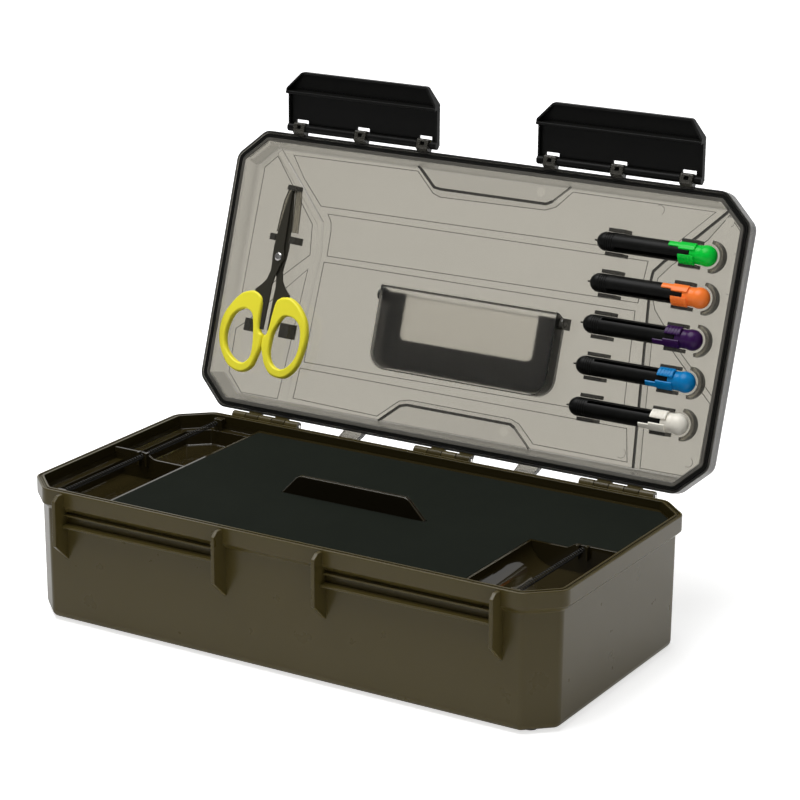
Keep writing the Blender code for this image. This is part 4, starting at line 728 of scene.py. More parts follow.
def draw_shell(bm):
    """The box's wall, floor and grooved rim."""
    low = WALL_IN + WALL_DRAFT
    floor = -HEIGHT + WALL
    inner = low + WALL
    box_skin(bm, curved([
        (low + 12, -HEIGHT), (low, -HEIGHT, BOTTOM_ROUND), (WALL_IN, -13.5, 1.0), (0.0, -9.9, 0.8),
        (0.0, 0.0, 0.6), (1.4, 0.0, 0.25), (1.4, -1.15), (2.05, -1.15), (2.05, -0.4, 0.15),
        (2.6, -0.4, 0.15), (2.6, -1.15), (3.2, -1.15), (3.2, 0.0, 0.25), (4.6, 0.0, 0.4),
        (4.6, -10.4), (8.4, -10.4, 0.3), (8.4, -12.4), (WALL_IN + WALL, -14.8, 1.0),
        (inner, floor, 2.2), (inner + 12, floor),
    ]))


def box_look(centre, normal):
    """Painted shade: the inside of the box takes a darker copy of the olive."""
    inside = abs(centre.x) < HALF_X - 4.0 and abs(centre.y) < HALF_Y - 4.0
    inward = normal.x * centre.x + normal.y * centre.y < 0
    return 1 if inside and inward and centre.z > -HEIGHT + WALL - 0.5 else 0


def draw_box_trim(bm):
    """Gusset plates, catch ledges and the ribs above them."""
    wall = -HALF_Y + WALL_IN + 1.0
    front = -HALF_Y - 8.5
    outline = [
        (-HALF_Y + 1, -1.0), (-HALF_Y - 4.5, -1.0), (front, -4.0), (front, -32.5),
        (wall, -44.6), (wall, -13.5), (-HALF_Y + 1, -9.5),
    ]
    for x in RIBS:
        slab(bm, outline, x - 1.25, x + 1.25, "x", 0.45, 3)
    for left, right in (RIBS[:2], RIBS[2:]):
        block(bm, (left, -HALF_Y - 2.6, -22.0), (right, wall, -20.6), 0.4, 3)
        block(bm, (left, -HALF_Y + 0.6, -15.4), (right, wall, -14.2), 0.4, 3)


def knuckle_slots(first):
    """Every other knuckle's span along X, from the first or the second of each group."""
    slots = []
    for middle, count in KNUCKLE_ROWS:
        for number in range(first, count, 2):
            low = middle + (number - count / 2) * KNUCKLE_PITCH
            slots.append((low + 0.2, low + KNUCKLE_PITCH - 0.2))
    return slots


def knuckle_ends(margin):
    """Both ends of each group of knuckles, run out by a margin."""
    ends = []
    for middle, count in KNUCKLE_ROWS:
        half = count * KNUCKLE_PITCH / 2 + margin
        ends.append((middle - half, middle + half))
    return ends


def knuckle_nose(way):
    """Three quarters of a knuckle's circle round the hinge's axis."""
    steps = 24
    return arc(KNUCKLE, [way * (math.pi * 1.5 * step / steps - math.pi / 2) for step in range(steps + 1)])


def draw_box_knuckles(bm):
    """The box's knuckles, tied to its back wall."""
    outline = knuckle_nose(1) + [(-5.5, 0), (-5.5, -KNUCKLE)]
    for low, high in knuckle_slots(0):
        slab(bm, [(AXIS_Y + y, AXIS_Z + z) for y, z in outline], low, high, "x", 0.25, 2)


def draw_box_bores(bm):
    for low, high in knuckle_ends(2):
        bore(bm, low, high, PIN + PLAY, (0, AXIS_Y, AXIS_Z), 24)


def draw_pins(bm):
    for low, high in knuckle_ends(0.4):
        rod(bm, (0, AXIS_Y, AXIS_Z), low, high, PIN, soft=0.3)


def draw_feet(bm):
    """Low nubs with a stud that sits in the box's floor."""
    profile = [(-1.5, 3.9), (-1.35, 4.3), (-1.1, 4.5), (-0.3, 4.5), (-0.3, 2.0), (1.3, 2.0)]
    for x, y in FEET:
        lathe(bm, [(-HEIGHT + level, radius) for level, radius in profile], (x, y, 0), "z")


# Tray


def draw_tray_shell(bm):
    """The tray's outside, with the lip that rests on the box."""
    box_skin(bm, curved([
        (BODY_IN + 14, -TRAY_LOW), (BODY_IN + 0.6, -TRAY_LOW, 1.6), (BODY_IN, -SHELF),
        (TRAY_IN, -SHELF, 0.3), (TRAY_IN, -5.5, 0.3), (TRAY_IN + 1.4, -5.5),
        (TRAY_IN + 1.4, -LIP, 0.3), (TRAY_IN + 16, -LIP),
    ]))


def draw_bay_space(bm):
    """The hollow that the bays are cut from."""
    low = BODY_IN + 1.6
    box_skin(bm, curved([
        (low + 12, -FLOOR), (low, -FLOOR, 1.2), (low, -STEP, 0.3), (BAY_IN, -STEP, 0.4), (BAY_IN, 2.0),
    ]))


def scoop_outline():
    """The corner bay from the front: a curve down to its floor, then out past the tray."""
    points = [(CORNER_X, 100.0), (CORNER_X, -LIP)]
    for angle in quarter(16)[1:]:
        points.append((
            CORNER_X + SCOOP * (1 - math.cos(angle)), -LIP - (FLOOR - LIP) * math.sin(angle)
        ))
    return points + [(300.0, -FLOOR), (300.0, 100.0)]


def deck_outline(margin):
    """The deck from above, drawn in by a margin and open past the tray's front and right."""
    corner_x = CORNER_X - DIVIDER - margin
    corner_y = CORNER_Y + DIVIDER + margin
    back = 81.2
    return [
        (LEFT_WALL + margin, -100.0), (corner_x, -100.0), (corner_x, corner_y),
        (200.0, corner_y), (200.0, back - margin), (LEFT_WALL + margin, back - margin),
    ]


def top_line(x0, x1, high_first, share_high, share_low):
    """A divider's top edge, which slopes from its high part down to the lip."""
    length = x1 - x0
    high, low = x0 + share_high * length, x0 + share_low * length
    sunk = -LIP - 0.3
    if high_first:
        return [(x0, WALL_TOP), (high, WALL_TOP), (low, sunk), (x1, sunk)]
    return [(x0, sunk), (low, sunk), (high, WALL_TOP), (x1, WALL_TOP)]


def standing_wall(bm, top, y0, y1):
    """A divider under its top edge, rooted in the tray's floor and step."""
    low, step, body = -FLOOR - ROOT, -STEP - ROOT, HALF_X - BODY_IN - ROOT
    left, right = top[0][0], top[-1][0]
    foot = [(-body, low), (-body, step), (left, step)] if left < -body else [(left, low)]
    toe = [(right, step), (body, step), (body, low)] if right > body else [(right, low)]
    outline = foot + top + toe
    bends = [8.0 if point in top[1:-1] else 0 for point in outline]
    slab(bm, fillet(outline, bends), y0, y1, "y", 0.3, 3)


def draw_tray_walls(bm):
    """The dividers, the springs' posts and the handle tab."""
    edge = HALF_X - TRAY_IN - 0.7
    half = DIVIDER / 2
    left_top = top_line(-edge, LEFT_WALL - half, True, 0.44, 0.57)
    standing_wall(bm, left_top, DIVIDER_Y - half, DIVIDER_Y + half)
    right_top = top_line(CORNER_X - half, edge, False, 0.52, 0.42)
    standing_wall(bm, right_top, CORNER_Y, CORNER_Y + DIVIDER)
    outside = HALF_Y - TRAY_IN - 0.4
    root = -STEP - ROOT
    left, front, _ = SPRING_LINES["left_front"]
    back = SPRING_LINES["left_back"][2]
    right = SPRING_LINES["right"][0]
    for x, y0, y1 in ((left, -outside, front), (left, back, outside), (right, -outside, front)):
        block(bm, (x - POST, y0, root), (x + POST, y1, -1.0), 0.35, 3)
    for x, y0, y1 in ((left, DIVIDER_Y - 3.4, DIVIDER_Y), (right, CORNER_Y - 3.0, CORNER_Y + 0.5)):
        for way in (-1, 1):
            block(bm, (x + way * POST - 0.8, y0, root), (x + way * POST + 0.8, y1, -0.6), 0.3, 2)
    corners = [
        (TAB_X - TAB_HALF, -9.7), (TAB_X + TAB_HALF, -9.7), (TAB_X + TAB_HALF, -LIP),
        (TAB_X + 38.5, 8.0), (TAB_X - 38.5, 8.0), (TAB_X - TAB_HALF, -LIP),
    ]
    outline = fillet(corners, [0, 0, 2.0, 7.0, 7.0, 2.0], 8)
    # The tab takes the darker tab finish: painted shade on its face, painted highlights on its edges
    slab(bm, outline, TAB_Y - 1.5, TAB_Y + 1.5, "y", 0.6, 4, look=1)


def draw_foam_sheet(bm):
    """A sheet with a soft upper edge, as large as the deck's octagon."""
    low, high = -DECK + 0.3, -DECK + 4.3
    box_skin(bm, [
        (BAY_IN + 0.3, low), (BAY_IN + 0.3, high - 0.8), (BAY_IN + 0.5, high - 0.25), (BAY_IN + 1.0, high),
    ])


def draw_foam_bounds(bm):
    slab(bm, deck_outline(0.3), -DECK, 0.0)


def draw_foam_slot(bm):
    half = TAB_HALF + 0.6
    block(bm, (TAB_X - half, TAB_Y - 1.8, -12.0), (TAB_X + half, TAB_Y + 1.8, 2.0))


def spring_route(y0, y1):
    """A helix along Y that draws in at both ends."""
    pitch, radius, wire = size("spring_pitch"), size("spring_radius"), size("spring_wire")
    start, end = y0 + PLAY + wire, y1 - PLAY - wire
    total = round((end - start) / pitch) * SPRING_STEPS
    narrow, lead = 0.35, 10
    points = []
    for step in range(total + 1):
        angle, along = math.tau * step / SPRING_STEPS, start + (end - start) * (step / total)
        ease = min(1.0, step / lead, (total - step) / lead)
        reach = radius * (narrow + (1 - narrow) * ease)
        points.append((reach * math.cos(angle), along, reach * math.sin(angle)))
    return points


# Lid


def draw_lid_shell(bm):
    """The lid's plate and skirt."""
    lid_skin(bm, curved([
        (20.0, LID_DEPTH), (0.0, LID_DEPTH, 7.2), (0.0, 0.0, 0.4), (1.5, 0.0, 0.2), (1.5, 2.0), (4.5, 2.0),
        (4.5, 0.0, 0.2), (LID_RIM, 0.0, 0.5), (LID_RIM + LID_DRAFT - 0.6, LID_FLOOR, 2.2), (20.0, LID_FLOOR),
    ], 6))


PANELS = [
    [(-150.5, 172.2), (-54.9, 172.9), (-41.2, 160.2), (-35.6, 158.3), (40.7, 159.5), (48.0, 162.3),
     (58.0, 173.1), (156.1, 172.9), (126.0, 142.8), (-123.1, 141.4), (-139.8, 158.1)],
    [(-116.8, 136.9), (117.0, 137.3), (115.0, 111.0), (-112.1, 109.6), (-112.3, 126.2), (-113.4, 132.0)],
    [(-113.6, 105.4), (114.0, 105.8), (118.0, 40.6), (-115.9, 38.4)],
    [(-118.2, 34.0), (122.0, 33.6), (126.1, 13.3), (60.3, 13.4), (48.2, 24.2), (42.0, 26.3),
     (-32.9, 26.4), (-40.1, 24.6), (-54.4, 12.4), (-119.6, 13.7)],
    [(-162.8, 170.1), (-171.5, 161.7), (-173.0, 66.0), (-125.2, 108.6), (-127.4, 128.8)],
    [(-165.2, 58.5), (-172.9, 52.6), (-172.7, 23.5), (-160.5, 11.2), (-131.5, 11.4), (-125.0, 99.0)],
    [(165.6, 172.2), (174.5, 163.0), (175.1, 61.2), (148.5, 85.4), (133.2, 101.7), (127.2, 108.3),
     (124.7, 114.1), (125.5, 127.9), (133.3, 137.1), (154.1, 155.4)],
    [(128.0, 97.0), (143.9, 84.7), (173.9, 57.3), (173.5, 20.0), (165.1, 11.4), (135.4, 11.2)],
]
TOP_EDGE = [(-54.9, 176.4), (-41.2, 164.1), (-36.0, 163.4), (40.6, 163.4), (45.0, 165.6)]
BOTTOM_EDGE = [(-53.0, 9.6), (-39.0, 21.6), (-34.0, 23.0), (41.9, 23.0), (45.2, 21.4)]
TOP_END = [(45.0, 165.6), (56.5, 176.4)]
BOTTOM_END = [(45.2, 21.4), (58.1, 9.9)]
RIGHT_RIDGE = [
    (166.0, 176.0), (147.2, 156.8), (127.7, 138.6), (121.6, 131.6), (120.9, 124.8), (123.0, 101.4),
    (130.7, 10.4),
]
LEFT_RIDGE = [(-161.4, 173.2), (-121.0, 130.2), (-118.6, 111.4), (-126.4, 12.4)]
EJECTORS = [
    (119.0, 169.4), (166.4, 168.0), (173.0, 146.3), (172.4, 121.6), (35.8, 170.4), (38.6, 18.1),
    (121.0, 18.1), (166.1, 20.2), (-168.7, 119.5), (-45.3, 74.1),
]
# The lid's looks: the plain smoke, then its darker copies, which are painted shade
LID_LOOKS = [
    "smoke", "line_smoke", "shade_smoke", "wall_smoke", "rim_smoke", "side_smoke", "channel_smoke",
    "low_smoke",
]
PANE, LINE, SHADE, LID_WALL, RIM, SIDE, CHANNEL, LOW_WALL = range(len(LID_LOOKS))


def draw_ejectors(bm):
    """Round marks on the lid's inside."""
    for x, t in EJECTORS:
        lathe(bm, [(LID_FLOOR - 0.12, 2.9), (LID_FLOOR, 3.2), (LID_FLOOR + 0.6, 3.2)], (x, t, 0), "z")


def draw_lid_grooves(bm):
    """Fine lines round the panels and broad ones across the lid, whose faces take near-black copies of the
    smoke: painted shade.
    """
    fine, broad = size("line_width"), size("edge_width")
    low, high = LID_FLOOR - 0.6, LID_FLOOR + 0.35
    for outline in PANELS:
        outer, inner = drawn_in(outline, -fine / 2), drawn_in(outline, fine / 2)
        rings = ((outer, low), (inner, low), (inner, high), (outer, high))
        skin(bm, [[(*place, level) for place in ring] for ring, level in rings], closed=False, look=LINE)
    for line, width, look in (
        (TOP_EDGE, broad, SHADE), (BOTTOM_EDGE, broad, SHADE), (TOP_END, 0.7 * broad, LINE),
        (BOTTOM_END, 0.7 * broad, LINE), (RIGHT_RIDGE, broad, SHADE),
    ):
        slab(bm, strip(line, width), low, LID_FLOOR + 0.9, look=look)


def draw_lid_ridge(bm):
    """A low rounded ridge beside the scissors."""
    levels = ((5.4, LID_FLOOR + 0.5), (5.0, LID_FLOOR - 0.1), (3.8, LID_FLOOR - 0.7), (1.8, LID_FLOOR - 0.95))
    skin(bm, [[(*place, depth) for place in strip(LEFT_RIDGE, width)] for width, depth in levels])


def lid_look(centre, normal):
    """The rim, the skirt's two sides and the channels between the panels differ from the panes: darker copies
    of the smoke, painted shade by where a face lies and which way it faces.
    """
    level = abs(normal.z) > 0.9
    upright = math.hypot(normal.x, normal.y) > 0.2
    outward = normal.x * centre.x + normal.y * (centre.y - LID_T / 2)
    if centre.z < 0.4 or (centre.z < 2.2 and level):
        return RIM
    if upright and outward > 0:
        return SIDE if centre.x > 100 else LID_WALL
    if upright and outward < 0 and centre.z < LID_FLOOR - 0.1:
        return LOW_WALL if normal.y > 0.2 else LID_WALL
    if normal.z < -0.9 and abs(centre.z - LID_FLOOR) < 0.1:
        return PANE if any(within(centre, outline) for outline in PANELS) else CHANNEL
    return PANE


def from_axis(outline):
    """An outline drawn round the hinge's axis, in the lid's t and depth."""
    return [(-EDGE_BACK - y, z - EDGE_RISE) for y, z in outline]


def draw_lid_knuckles(bm):
    """The lid's knuckles, which stand between the box's."""
    back = -EDGE_BACK - 1
    outline = knuckle_nose(-1) + [(-KNUCKLE, EDGE_RISE), (back, EDGE_RISE), (back, EDGE_RISE + KNUCKLE)]
    for low, high in knuckle_slots(1):
        slab(bm, from_axis(outline), low, high, "x", 0.25, 2)


def draw_lid_stops(bm):
    """Wedges that meet the box's back when the lid stands open."""
    reach = 4.2
    cos, sin = math.cos(OPEN_ANGLE), math.sin(OPEN_ANGLE)
    opened = [(-reach, -2.2), (-reach, 0), (reach, -0.55)]
    closed = [(y * cos - z * sin, y * sin + z * cos) for y, z in opened]
    edge, wall = EDGE_BACK + 1, EDGE_RISE + 1
    outline = from_axis([closed[0], closed[1], (-edge, wall), (-edge, wall + 6.0), closed[2]])
    for x in STOPS:
        slab(bm, outline, x - 7, x + 7, "x", 0.3, 2)


def draw_lid_bores(bm):
    """Holes for the hinge pins, the latches' rods and the bin's pivots."""
    for low, high in knuckle_ends(2):
        bore(bm, low, high, PIN + PLAY, (0, -EDGE_BACK, -EDGE_RISE), 24)
    for span in LATCH_SPANS.values():
        for x in clip_places(span):
            bore(bm, x - 8.75, x + 8.75, ROD + PLAY, (0, ROD_T, 0))
            block(bm, (x - 1.6, ROD_T - 1.0, -4.0), (x + 1.6, ROD_T + 1.4, 1.0))
    for low, high in both_sides(BIN_X, BIN_HALF - 2, BIN_HALF + 6.8):
        bore(bm, low, high, PIVOT + PLAY, PIVOT_PLACE)


def clip_places(span):
    """The middles of a latch's three clips."""
    middle, half = (span[0] + span[1]) / 2, (span[1] - span[0]) / 2
    return [middle + share * half for share in CLIP_SHARES]


def draw_lid_fittings(bm):
    """Latch clips, tool clips, scissors holders and the bin's ears."""
    outer = ROD + PLAY + 1.4
    clip = fillet([
        (LID_T - 1, 0.3), (LID_T + 1, -outer), (ROD_T + outer, -outer), (ROD_T + outer, outer),
        (LID_T - 1, outer),
    ], [0, 0.6, 1.6, 1.6, 0], 5)
    for span in LATCH_SPANS.values():
        for x in clip_places(span):
            slab(bm, clip, x - CLIP_HALF, x + CLIP_HALF, "x", 0.3, 2)
    base = LID_FLOOR + 1.0
    for t in TOOL_ROWS:
        for start, length in ((6.8, 11.8), (56.6, 11.0)):
            x = TOOL_START + start
            for low, high in both_sides(t, TOOL_R + PLAY, TOOL_R + 2.7):
                block(bm, (x, low, 4.0), (x + length, high, base), 0.35, 3)
    for a, b, low, high in HOLDS:
        slab(bm, scissors_outline([(a, low), (b, low), (b, high), (a, high)]), 3.4, base, "z", 0.3, 2)
    ear = 3.6
    for low, high in both_sides(BIN_X, BIN_HALF + PLAY, BIN_HALF + 2.9):
        block(bm, (low, PIVOT_T - ear, PIVOT_DEPTH), (high, PIVOT_T + ear, base), 0.3, 2)
        rod(bm, PIVOT_PLACE, low, high, ear, soft=0.5)


def cup_shade_look(centre, normal):
    """Painted light: the cups' tops take the paler cup smoke and their sides the dark smoke."""
    return 1 if abs(normal.z) < 0.5 else 0


def sheath_shade_look(centre, normal):
    """Painted shade: the blade pocket's top edge is darker than its sides."""
    return 1 if abs(normal.z) > 0.5 else 0


def fitting_look(centre, normal):
    """The knuckles at the hinge edge are browner than the other fittings."""
    return 1 if centre.y < 3.0 else 0


def draw_cups(bm):
    """The crescents behind the ball ends."""
    centre = TOOL_START + TOOL_LENGTH - BALL_R
    near = BALL_R + size("cup_gap")
    angles = [math.radians(80) * (step / 16 - 1) for step in range(33)]
    for t in TOOL_ROWS:
        outline = arc(near, angles, centre, t) + arc(near + 2.3, angles, centre, t)[::-1]
        slab(bm, outline, 7.0, LID_FLOOR + 0.8, "z", 0.25, 2)


def draw_sheath(bm):
    """The thin pocket round the blades, shut by a cap at the tip."""
    left = [(-6.6, 96.0), (-6.4, 105.0), (-5.6, 117.0), (-3.6, 125.0)]
    right = [(5.4, 97.0), (4.3, 109.0), (3.2, 119.5), (2.4, 125.0)]
    inner_left = [(x + 0.8, y) for x, y in left[:-1]] + [(-2.8, 124.2)]
    inner_right = [(x - 0.8, y) for x, y in right[:-1]] + [(1.6, 124.2)]
    outline = left + right[::-1] + inner_right + inner_left[::-1]
    slab(bm, scissors_outline(outline), 5.6, LID_FLOOR + 0.9, "z", 0.15, 2)
    tip = [(-3.8, 124.2), (2.6, 124.2), (2.4, 127.6), (-3.4, 127.6)]
    slab(bm, scissors_outline(tip), 3.4, LID_FLOOR + 0.9, "z", 0.4, 2, look=1)


def draw_seal(bm):
    """The seal in the lid's groove, its face with two ribs."""
    lid_skin(bm, [
        (1.7, 0.3), (1.7, 1.7), (4.3, 1.7), (4.3, 0.3), (4.0, -0.2), (3.3, -0.2), (3.0, 0.3), (2.7, -0.2),
        (2.0, -0.2),
    ], closed=False)


# Latches


def latch_rods(span):
    """Where the latch's rod is thick, between the clips."""
    stops = [span[0] - CLIP_ROOM] + clip_places(span) + [span[1] + CLIP_ROOM]
    return [(a + CLIP_ROOM, b - CLIP_ROOM) for a, b in zip(stops, stops[1:])]


def lip_share(y):
    """How far along the latch's lip a place lies."""
    return min(1.0, max(0.0, (-y - HOOK_TIP) / LATCH_LIP))


def draw_latch(span):
    """A latch's rod, plate, hook, cheeks, and its lip with the border under it."""
    x0, x1 = span
    low, high = 1.4, 3.2
    lip_end = -HOOK_TIP - LATCH_LIP

    def draw(bm):
        rod(bm, (0, 0, 0), x0, x1, ROD, soft=0.3)
        block(bm, (x0, -HOOK - 0.9, low), (x1, 0.8, high), 0.35, 3)
        for a, b in latch_rods(span):
            rod(bm, (0, 0, 0), a, b, 2.7, soft=0.4)
        block(bm, (x0, -HOOK_TIP, high - 7.3), (x1, -HOOK, high), 0.45, 3)
        lip = fillet([
            (x0, -HOOK_TIP + 1), (x1, -HOOK_TIP + 1), (x1, -HOOK_TIP - 1.8),
            (x1 - 9, lip_end), (x0 + 9, lip_end), (x0, -HOOK_TIP - 1.8),
        ], [0, 0, 1, 3, 3, 1])
        rings = [[(x, y, level + 1.5 * lip_share(y)) for x, y in lip] for level in (low, high)]
        softened(bm, lambda small: skin(small, rings), 0.4, 3)
        for a, b in ((x0, x0 + 1.4), (x1 - 1.4, x1)):
            block(bm, (a, -HOOK - 0.9, -0.85), (b, 0, high), 0.3, 2)
        inner = drawn_in(lip, 1.3)
        top, bottom = (low + 0.6, low + 2.0), (high - 7.0, low + 0.2)
        border = []
        for outline, (first, last) in ((lip, top), (lip, bottom), (inner, bottom), (inner, top)):
            border.append([(x, y, first + (last - first) * lip_share(y)) for x, y in outline])
        skin(bm, border, closed=False)
    return draw


def draw_latch_notches(span):
    """Room in the latch for the lid's clips."""
    def draw(bm):
        for x in clip_places(span):
            block(bm, (x - CLIP_ROOM, -5.2, ROD - 0.3), (x + CLIP_ROOM, 5.4, 5.2))
    return draw


# Bin


def bin_outline(inset, top):
    """The bin from the front, drawn in by inset and run up to a top."""
    half, low, corner = BIN_HALF - inset, BIN_LOW + inset, 12.0 - inset
    places = [(BIN_X - half, top), (BIN_X - half, low), (BIN_X + half, low), (BIN_X + half, top)]
    return fillet(places, [0, corner, corner, 0], 12)


def draw_bin_body(bm):
    slab(bm, bin_outline(0, BIN_HIGH), -1.0, 12.4, "z", 1.2, 4)


def draw_bin_space(bm):
    slab(bm, bin_outline(1.5, BIN_HIGH + 4), 0.5, 10.9, "z", 0.8, 3)


def draw_bin_mouth(bm):
    """What is cut from the bin's top, so that its back stands lower than its front."""
    outline = [(BIN_HIGH + 4, 0.5), (BIN_HIGH, 0.5), (BIN_HIGH - 6, 14.4), (BIN_HIGH + 4, 14.4)]
    slab(bm, outline, BIN_X - BIN_HALF - 2, BIN_X + BIN_HALF + 2, "x")


def bin_look(centre, normal):
    """The bin's broad faces are clear, its edges darker as painted shade, and its pivots darkest."""
    if abs(centre.x - BIN_X) > BIN_HALF + 0.2:
        return 2
    slanted = normal.y > 0.5 and abs(normal.z) > 0.2
    return 0 if abs(normal.z) > 0.9 and not slanted else 1


def draw_bin_bead(bm):
    """The thick lip along the top of the bin's front, tinted dark: painted shade for the dark line along that
    edge.
    """
    half, low = BIN_HALF - 0.6, BIN_HIGH - 1.9
    places = [(BIN_X - half, low), (BIN_X + half, low), (BIN_X + half, BIN_HIGH), (BIN_X - half, BIN_HIGH)]
    slab(bm, fillet(places, [0, 0, 1.5, 1.5], 4), -0.9, 0.9, "z", 0.3, 2, look=2)


def draw_bin_shade_sheet(bm):
    """A thin dark sheet along the bin's sides and bottom, seen through its front: painted shade."""
    top = 93.5
    left, right, low = BIN_X - 50.5, BIN_X + 46.5, BIN_LOW + 20.8
    inner = fillet([(left, top), (left, low), (right, low), (right, top)], [0, 4, 4, 0], 4)
    slab(bm, bin_outline(2.0, top) + inner[::-1], 9.8, 10.4, "z")


def draw_bin_pivots(bm):
    for low, high in both_sides(BIN_X, BIN_HALF - 0.75, BIN_HALF + 3.4):
        rod(bm, PIVOT_PLACE, low, high, PIVOT, soft=0.3)


# Scissors


BLADE_SHARES = [(0.985, 0.05), (0.96, 0.2), (0.92, 0.36), (0.86, 0.54), (0.78, 0.78), (0.68, 1.0)]
LOOP_OUTER = {
    -1: [(-20.1, 52.8), (-13.4, 54.7), (-8.2, 53.0), (-5.4, 49.7), (-5.2, 43.0), (-4.6, 33.0), (-2.8, 28.6),
         (-0.4, 26.6), (-0.3, 18.5), (-2.0, 11.0), (-4.2, 4.7), (-9.2, 0.6), (-15.6, -0.1), (-23.5, 3.1),
         (-30.3, 11.3), (-33.7, 18.8), (-35.0, 27.2), (-33.1, 36.3), (-29.1, 43.8), (-24.2, 50.0)],
    1: [(9.9, 54.1), (15.8, 54.5), (22.3, 51.2), (27.9, 45.6), (31.5, 39.7), (33.6, 30.2), (32.8, 20.0),
        (30.5, 11.0), (25.4, 4.1), (19.8, 1.4), (11.2, 2.3), (5.2, 7.9), (2.3, 13.7), (0.6, 18.1),
        (0.0, 20.6), (0.1, 25.9), (2.3, 28.5), (3.3, 34.0), (3.7, 41.1), (4.8, 49.9), (7.2, 52.9)],
}
LOOP_INNER = {
    -1: [(-16.6, 41.7), (-12.1, 39.7), (-10.1, 35.3), (-7.8, 25.5), (-6.6, 15.6), (-7.7, 10.0), (-12.3, 6.2),
         (-19.3, 7.8), (-26.1, 13.5), (-28.9, 21.3), (-28.4, 28.8), (-25.9, 36.1), (-21.4, 40.3)],
    1: [(12.6, 41.1), (19.2, 42.1), (24.8, 39.1), (27.8, 33.5), (28.8, 24.5), (27.4, 16.6), (23.4, 10.4),
        (17.9, 7.3), (11.5, 9.0), (7.4, 15.0), (6.7, 25.1), (8.1, 32.2)],
}
# The arms that hold the scissors: from and to across them, from and to along them
HOLDS = [
    (-9.8, -5.6, 89.8, 94.3), (5.6, 10.2, 89.5, 94.3), (-16.0, -10.9, 27.5, 36.0), (11.6, 18.7, 27.8, 37.5),
]


def scissors_place(across, along):
    """From millimetres across and along the scissors to the lid's x and t."""
    from_middle = along - SCISSORS_LONG / 2
    return (
        SCISSORS_X + across * math.cos(SCISSORS_TURN) - from_middle * math.sin(SCISSORS_TURN),
        SCISSORS_T + across * math.sin(SCISSORS_TURN) + from_middle * math.cos(SCISSORS_TURN),
    )


def scissors_outline(places):
    return [scissors_place(across, along) for across, along in places]


def blade_places(way):
    """A blade and its tang, which runs down into the loop."""
    spine = [(way * BLADE_HALF * wide, along * SCISSORS_LONG) for along, wide in BLADE_SHARES]
    edge = [(-way * BLADE_HALF * wide / 2, along * SCISSORS_LONG) for along, wide in BLADE_SHARES]
    tang = [
        (4.9, PIVOT_ALONG), (4.2, 74.5), (4.0, 70.0), (5.6, 64.0), (8.6, 60.0), (13.0, 56.0), (13.0, 52.0),
        (4.8, 48.0), (3.7, 30.4), (1.1, 30.4), (1.0, 50.0), (1.1, 60.0), (0.2, 66.0),
    ]
    return spine + [(way * x, y) for x, y in tang] + [(-way * BLADE_HALF * 0.8, PIVOT_ALONG)] + edge[::-1]


def draw_blade(way):
    """The blade on one side of the scissors' middle."""
    near = SCISSORS_LEVEL + way * 0.15
    low, high = sorted((near, near + way * BLADE))
    return lambda bm: slab(bm, scissors_outline(blade_places(way)), low, high, "z", 0.25, 2)


def draw_blade_hole(bm):
    lathe(bm, [(0, 1.7), (12, 1.7)], (*scissors_place(0, PIVOT_ALONG), 0), "z", 24)


def loop_skin(bm, places, soft, pull, beyond=0):
    """A loop's side, rounded by soft and drawn in by pull at both faces; beyond runs it past them."""
    half = size("loop_thickness") / 2
    low, high = SCISSORS_LEVEL - half, SCISSORS_LEVEL + half
    levels = [
        (low + soft * (1 - math.sin(angle)), pull * (1 - math.cos(angle))) for angle in quarter(6)
    ]
    levels += [(low + high - depth, inset) for depth, inset in levels]
    if beyond:
        levels += [(low - beyond, pull), (high + beyond, pull)]
    outline = flowing(places)
    skin(bm, [
        [(*place, depth) for place in scissors_outline(drawn_in(outline, inset))]
        for depth, inset in sorted(levels)
    ])


def draw_loop(way):
    return lambda bm: loop_skin(bm, LOOP_OUTER[way], 2.1, 2.1 * 0.8)


def draw_loop_hole(way):
    return lambda bm: loop_skin(bm, LOOP_INNER[way], 1.9, -1.9 * 0.7, beyond=2)


def draw_rivet(bm):
    """A stem through both blades with a head at either end."""
    reach = BLADE + 0.45
    lathe(bm, [(SCISSORS_LEVEL + level, radius) for level, radius in (
        (-reach - 0.8, 1.2), (-reach - 0.65, 2.0), (-reach - 0.3, 2.6), (-reach, 2.6), (-reach, 1.4),
        (reach, 1.4), (reach, 2.6), (reach + 0.8, 2.4),
    )], (*scissors_place(0, PIVOT_ALONG), 0), "z")


# Needle tools


def tool_space(t, way):
    """From a tool's own millimetres, with its slider side at -Z, to the world."""
    return LID_SPACE @ flipped(TOOL_START, t, TOOL_LEVEL) @ Matrix.Rotation(way * SLIDER_TURN, 4, "X")


def draw_barrel(bm):
    """A hollow tube with a rounded end and four fine grooves."""
    hollow = TOOL_R - 1.8
    stops = [(0.0, 1.6), (0.35, 2.4), (1.1, 3.7), (2.4, 4.9), (4.0, 5.7), (5.2, 6.0)]
    for number in range(4):
        x = 7.0 + number * 1.5
        stops += [(x, 6.0), (x + 0.3, 5.75), (x + 0.7, 5.75), (x + 1.0, 6.0)]
    stops += [(BARREL_END - 0.3, 6.0), (BARREL_END, 5.7), (BARREL_END, hollow), (5.0, hollow)]
    lathe(bm, stops, sides=48)


def draw_barrel_cuts(bm):
    """The needle's hole and the slider's slot."""
    bore(bm, -2, 7, 0.9, sides=20)
    block(bm, (13.5, -1.1, -8.0), (BARREL_END + 2, 1.1, 0))


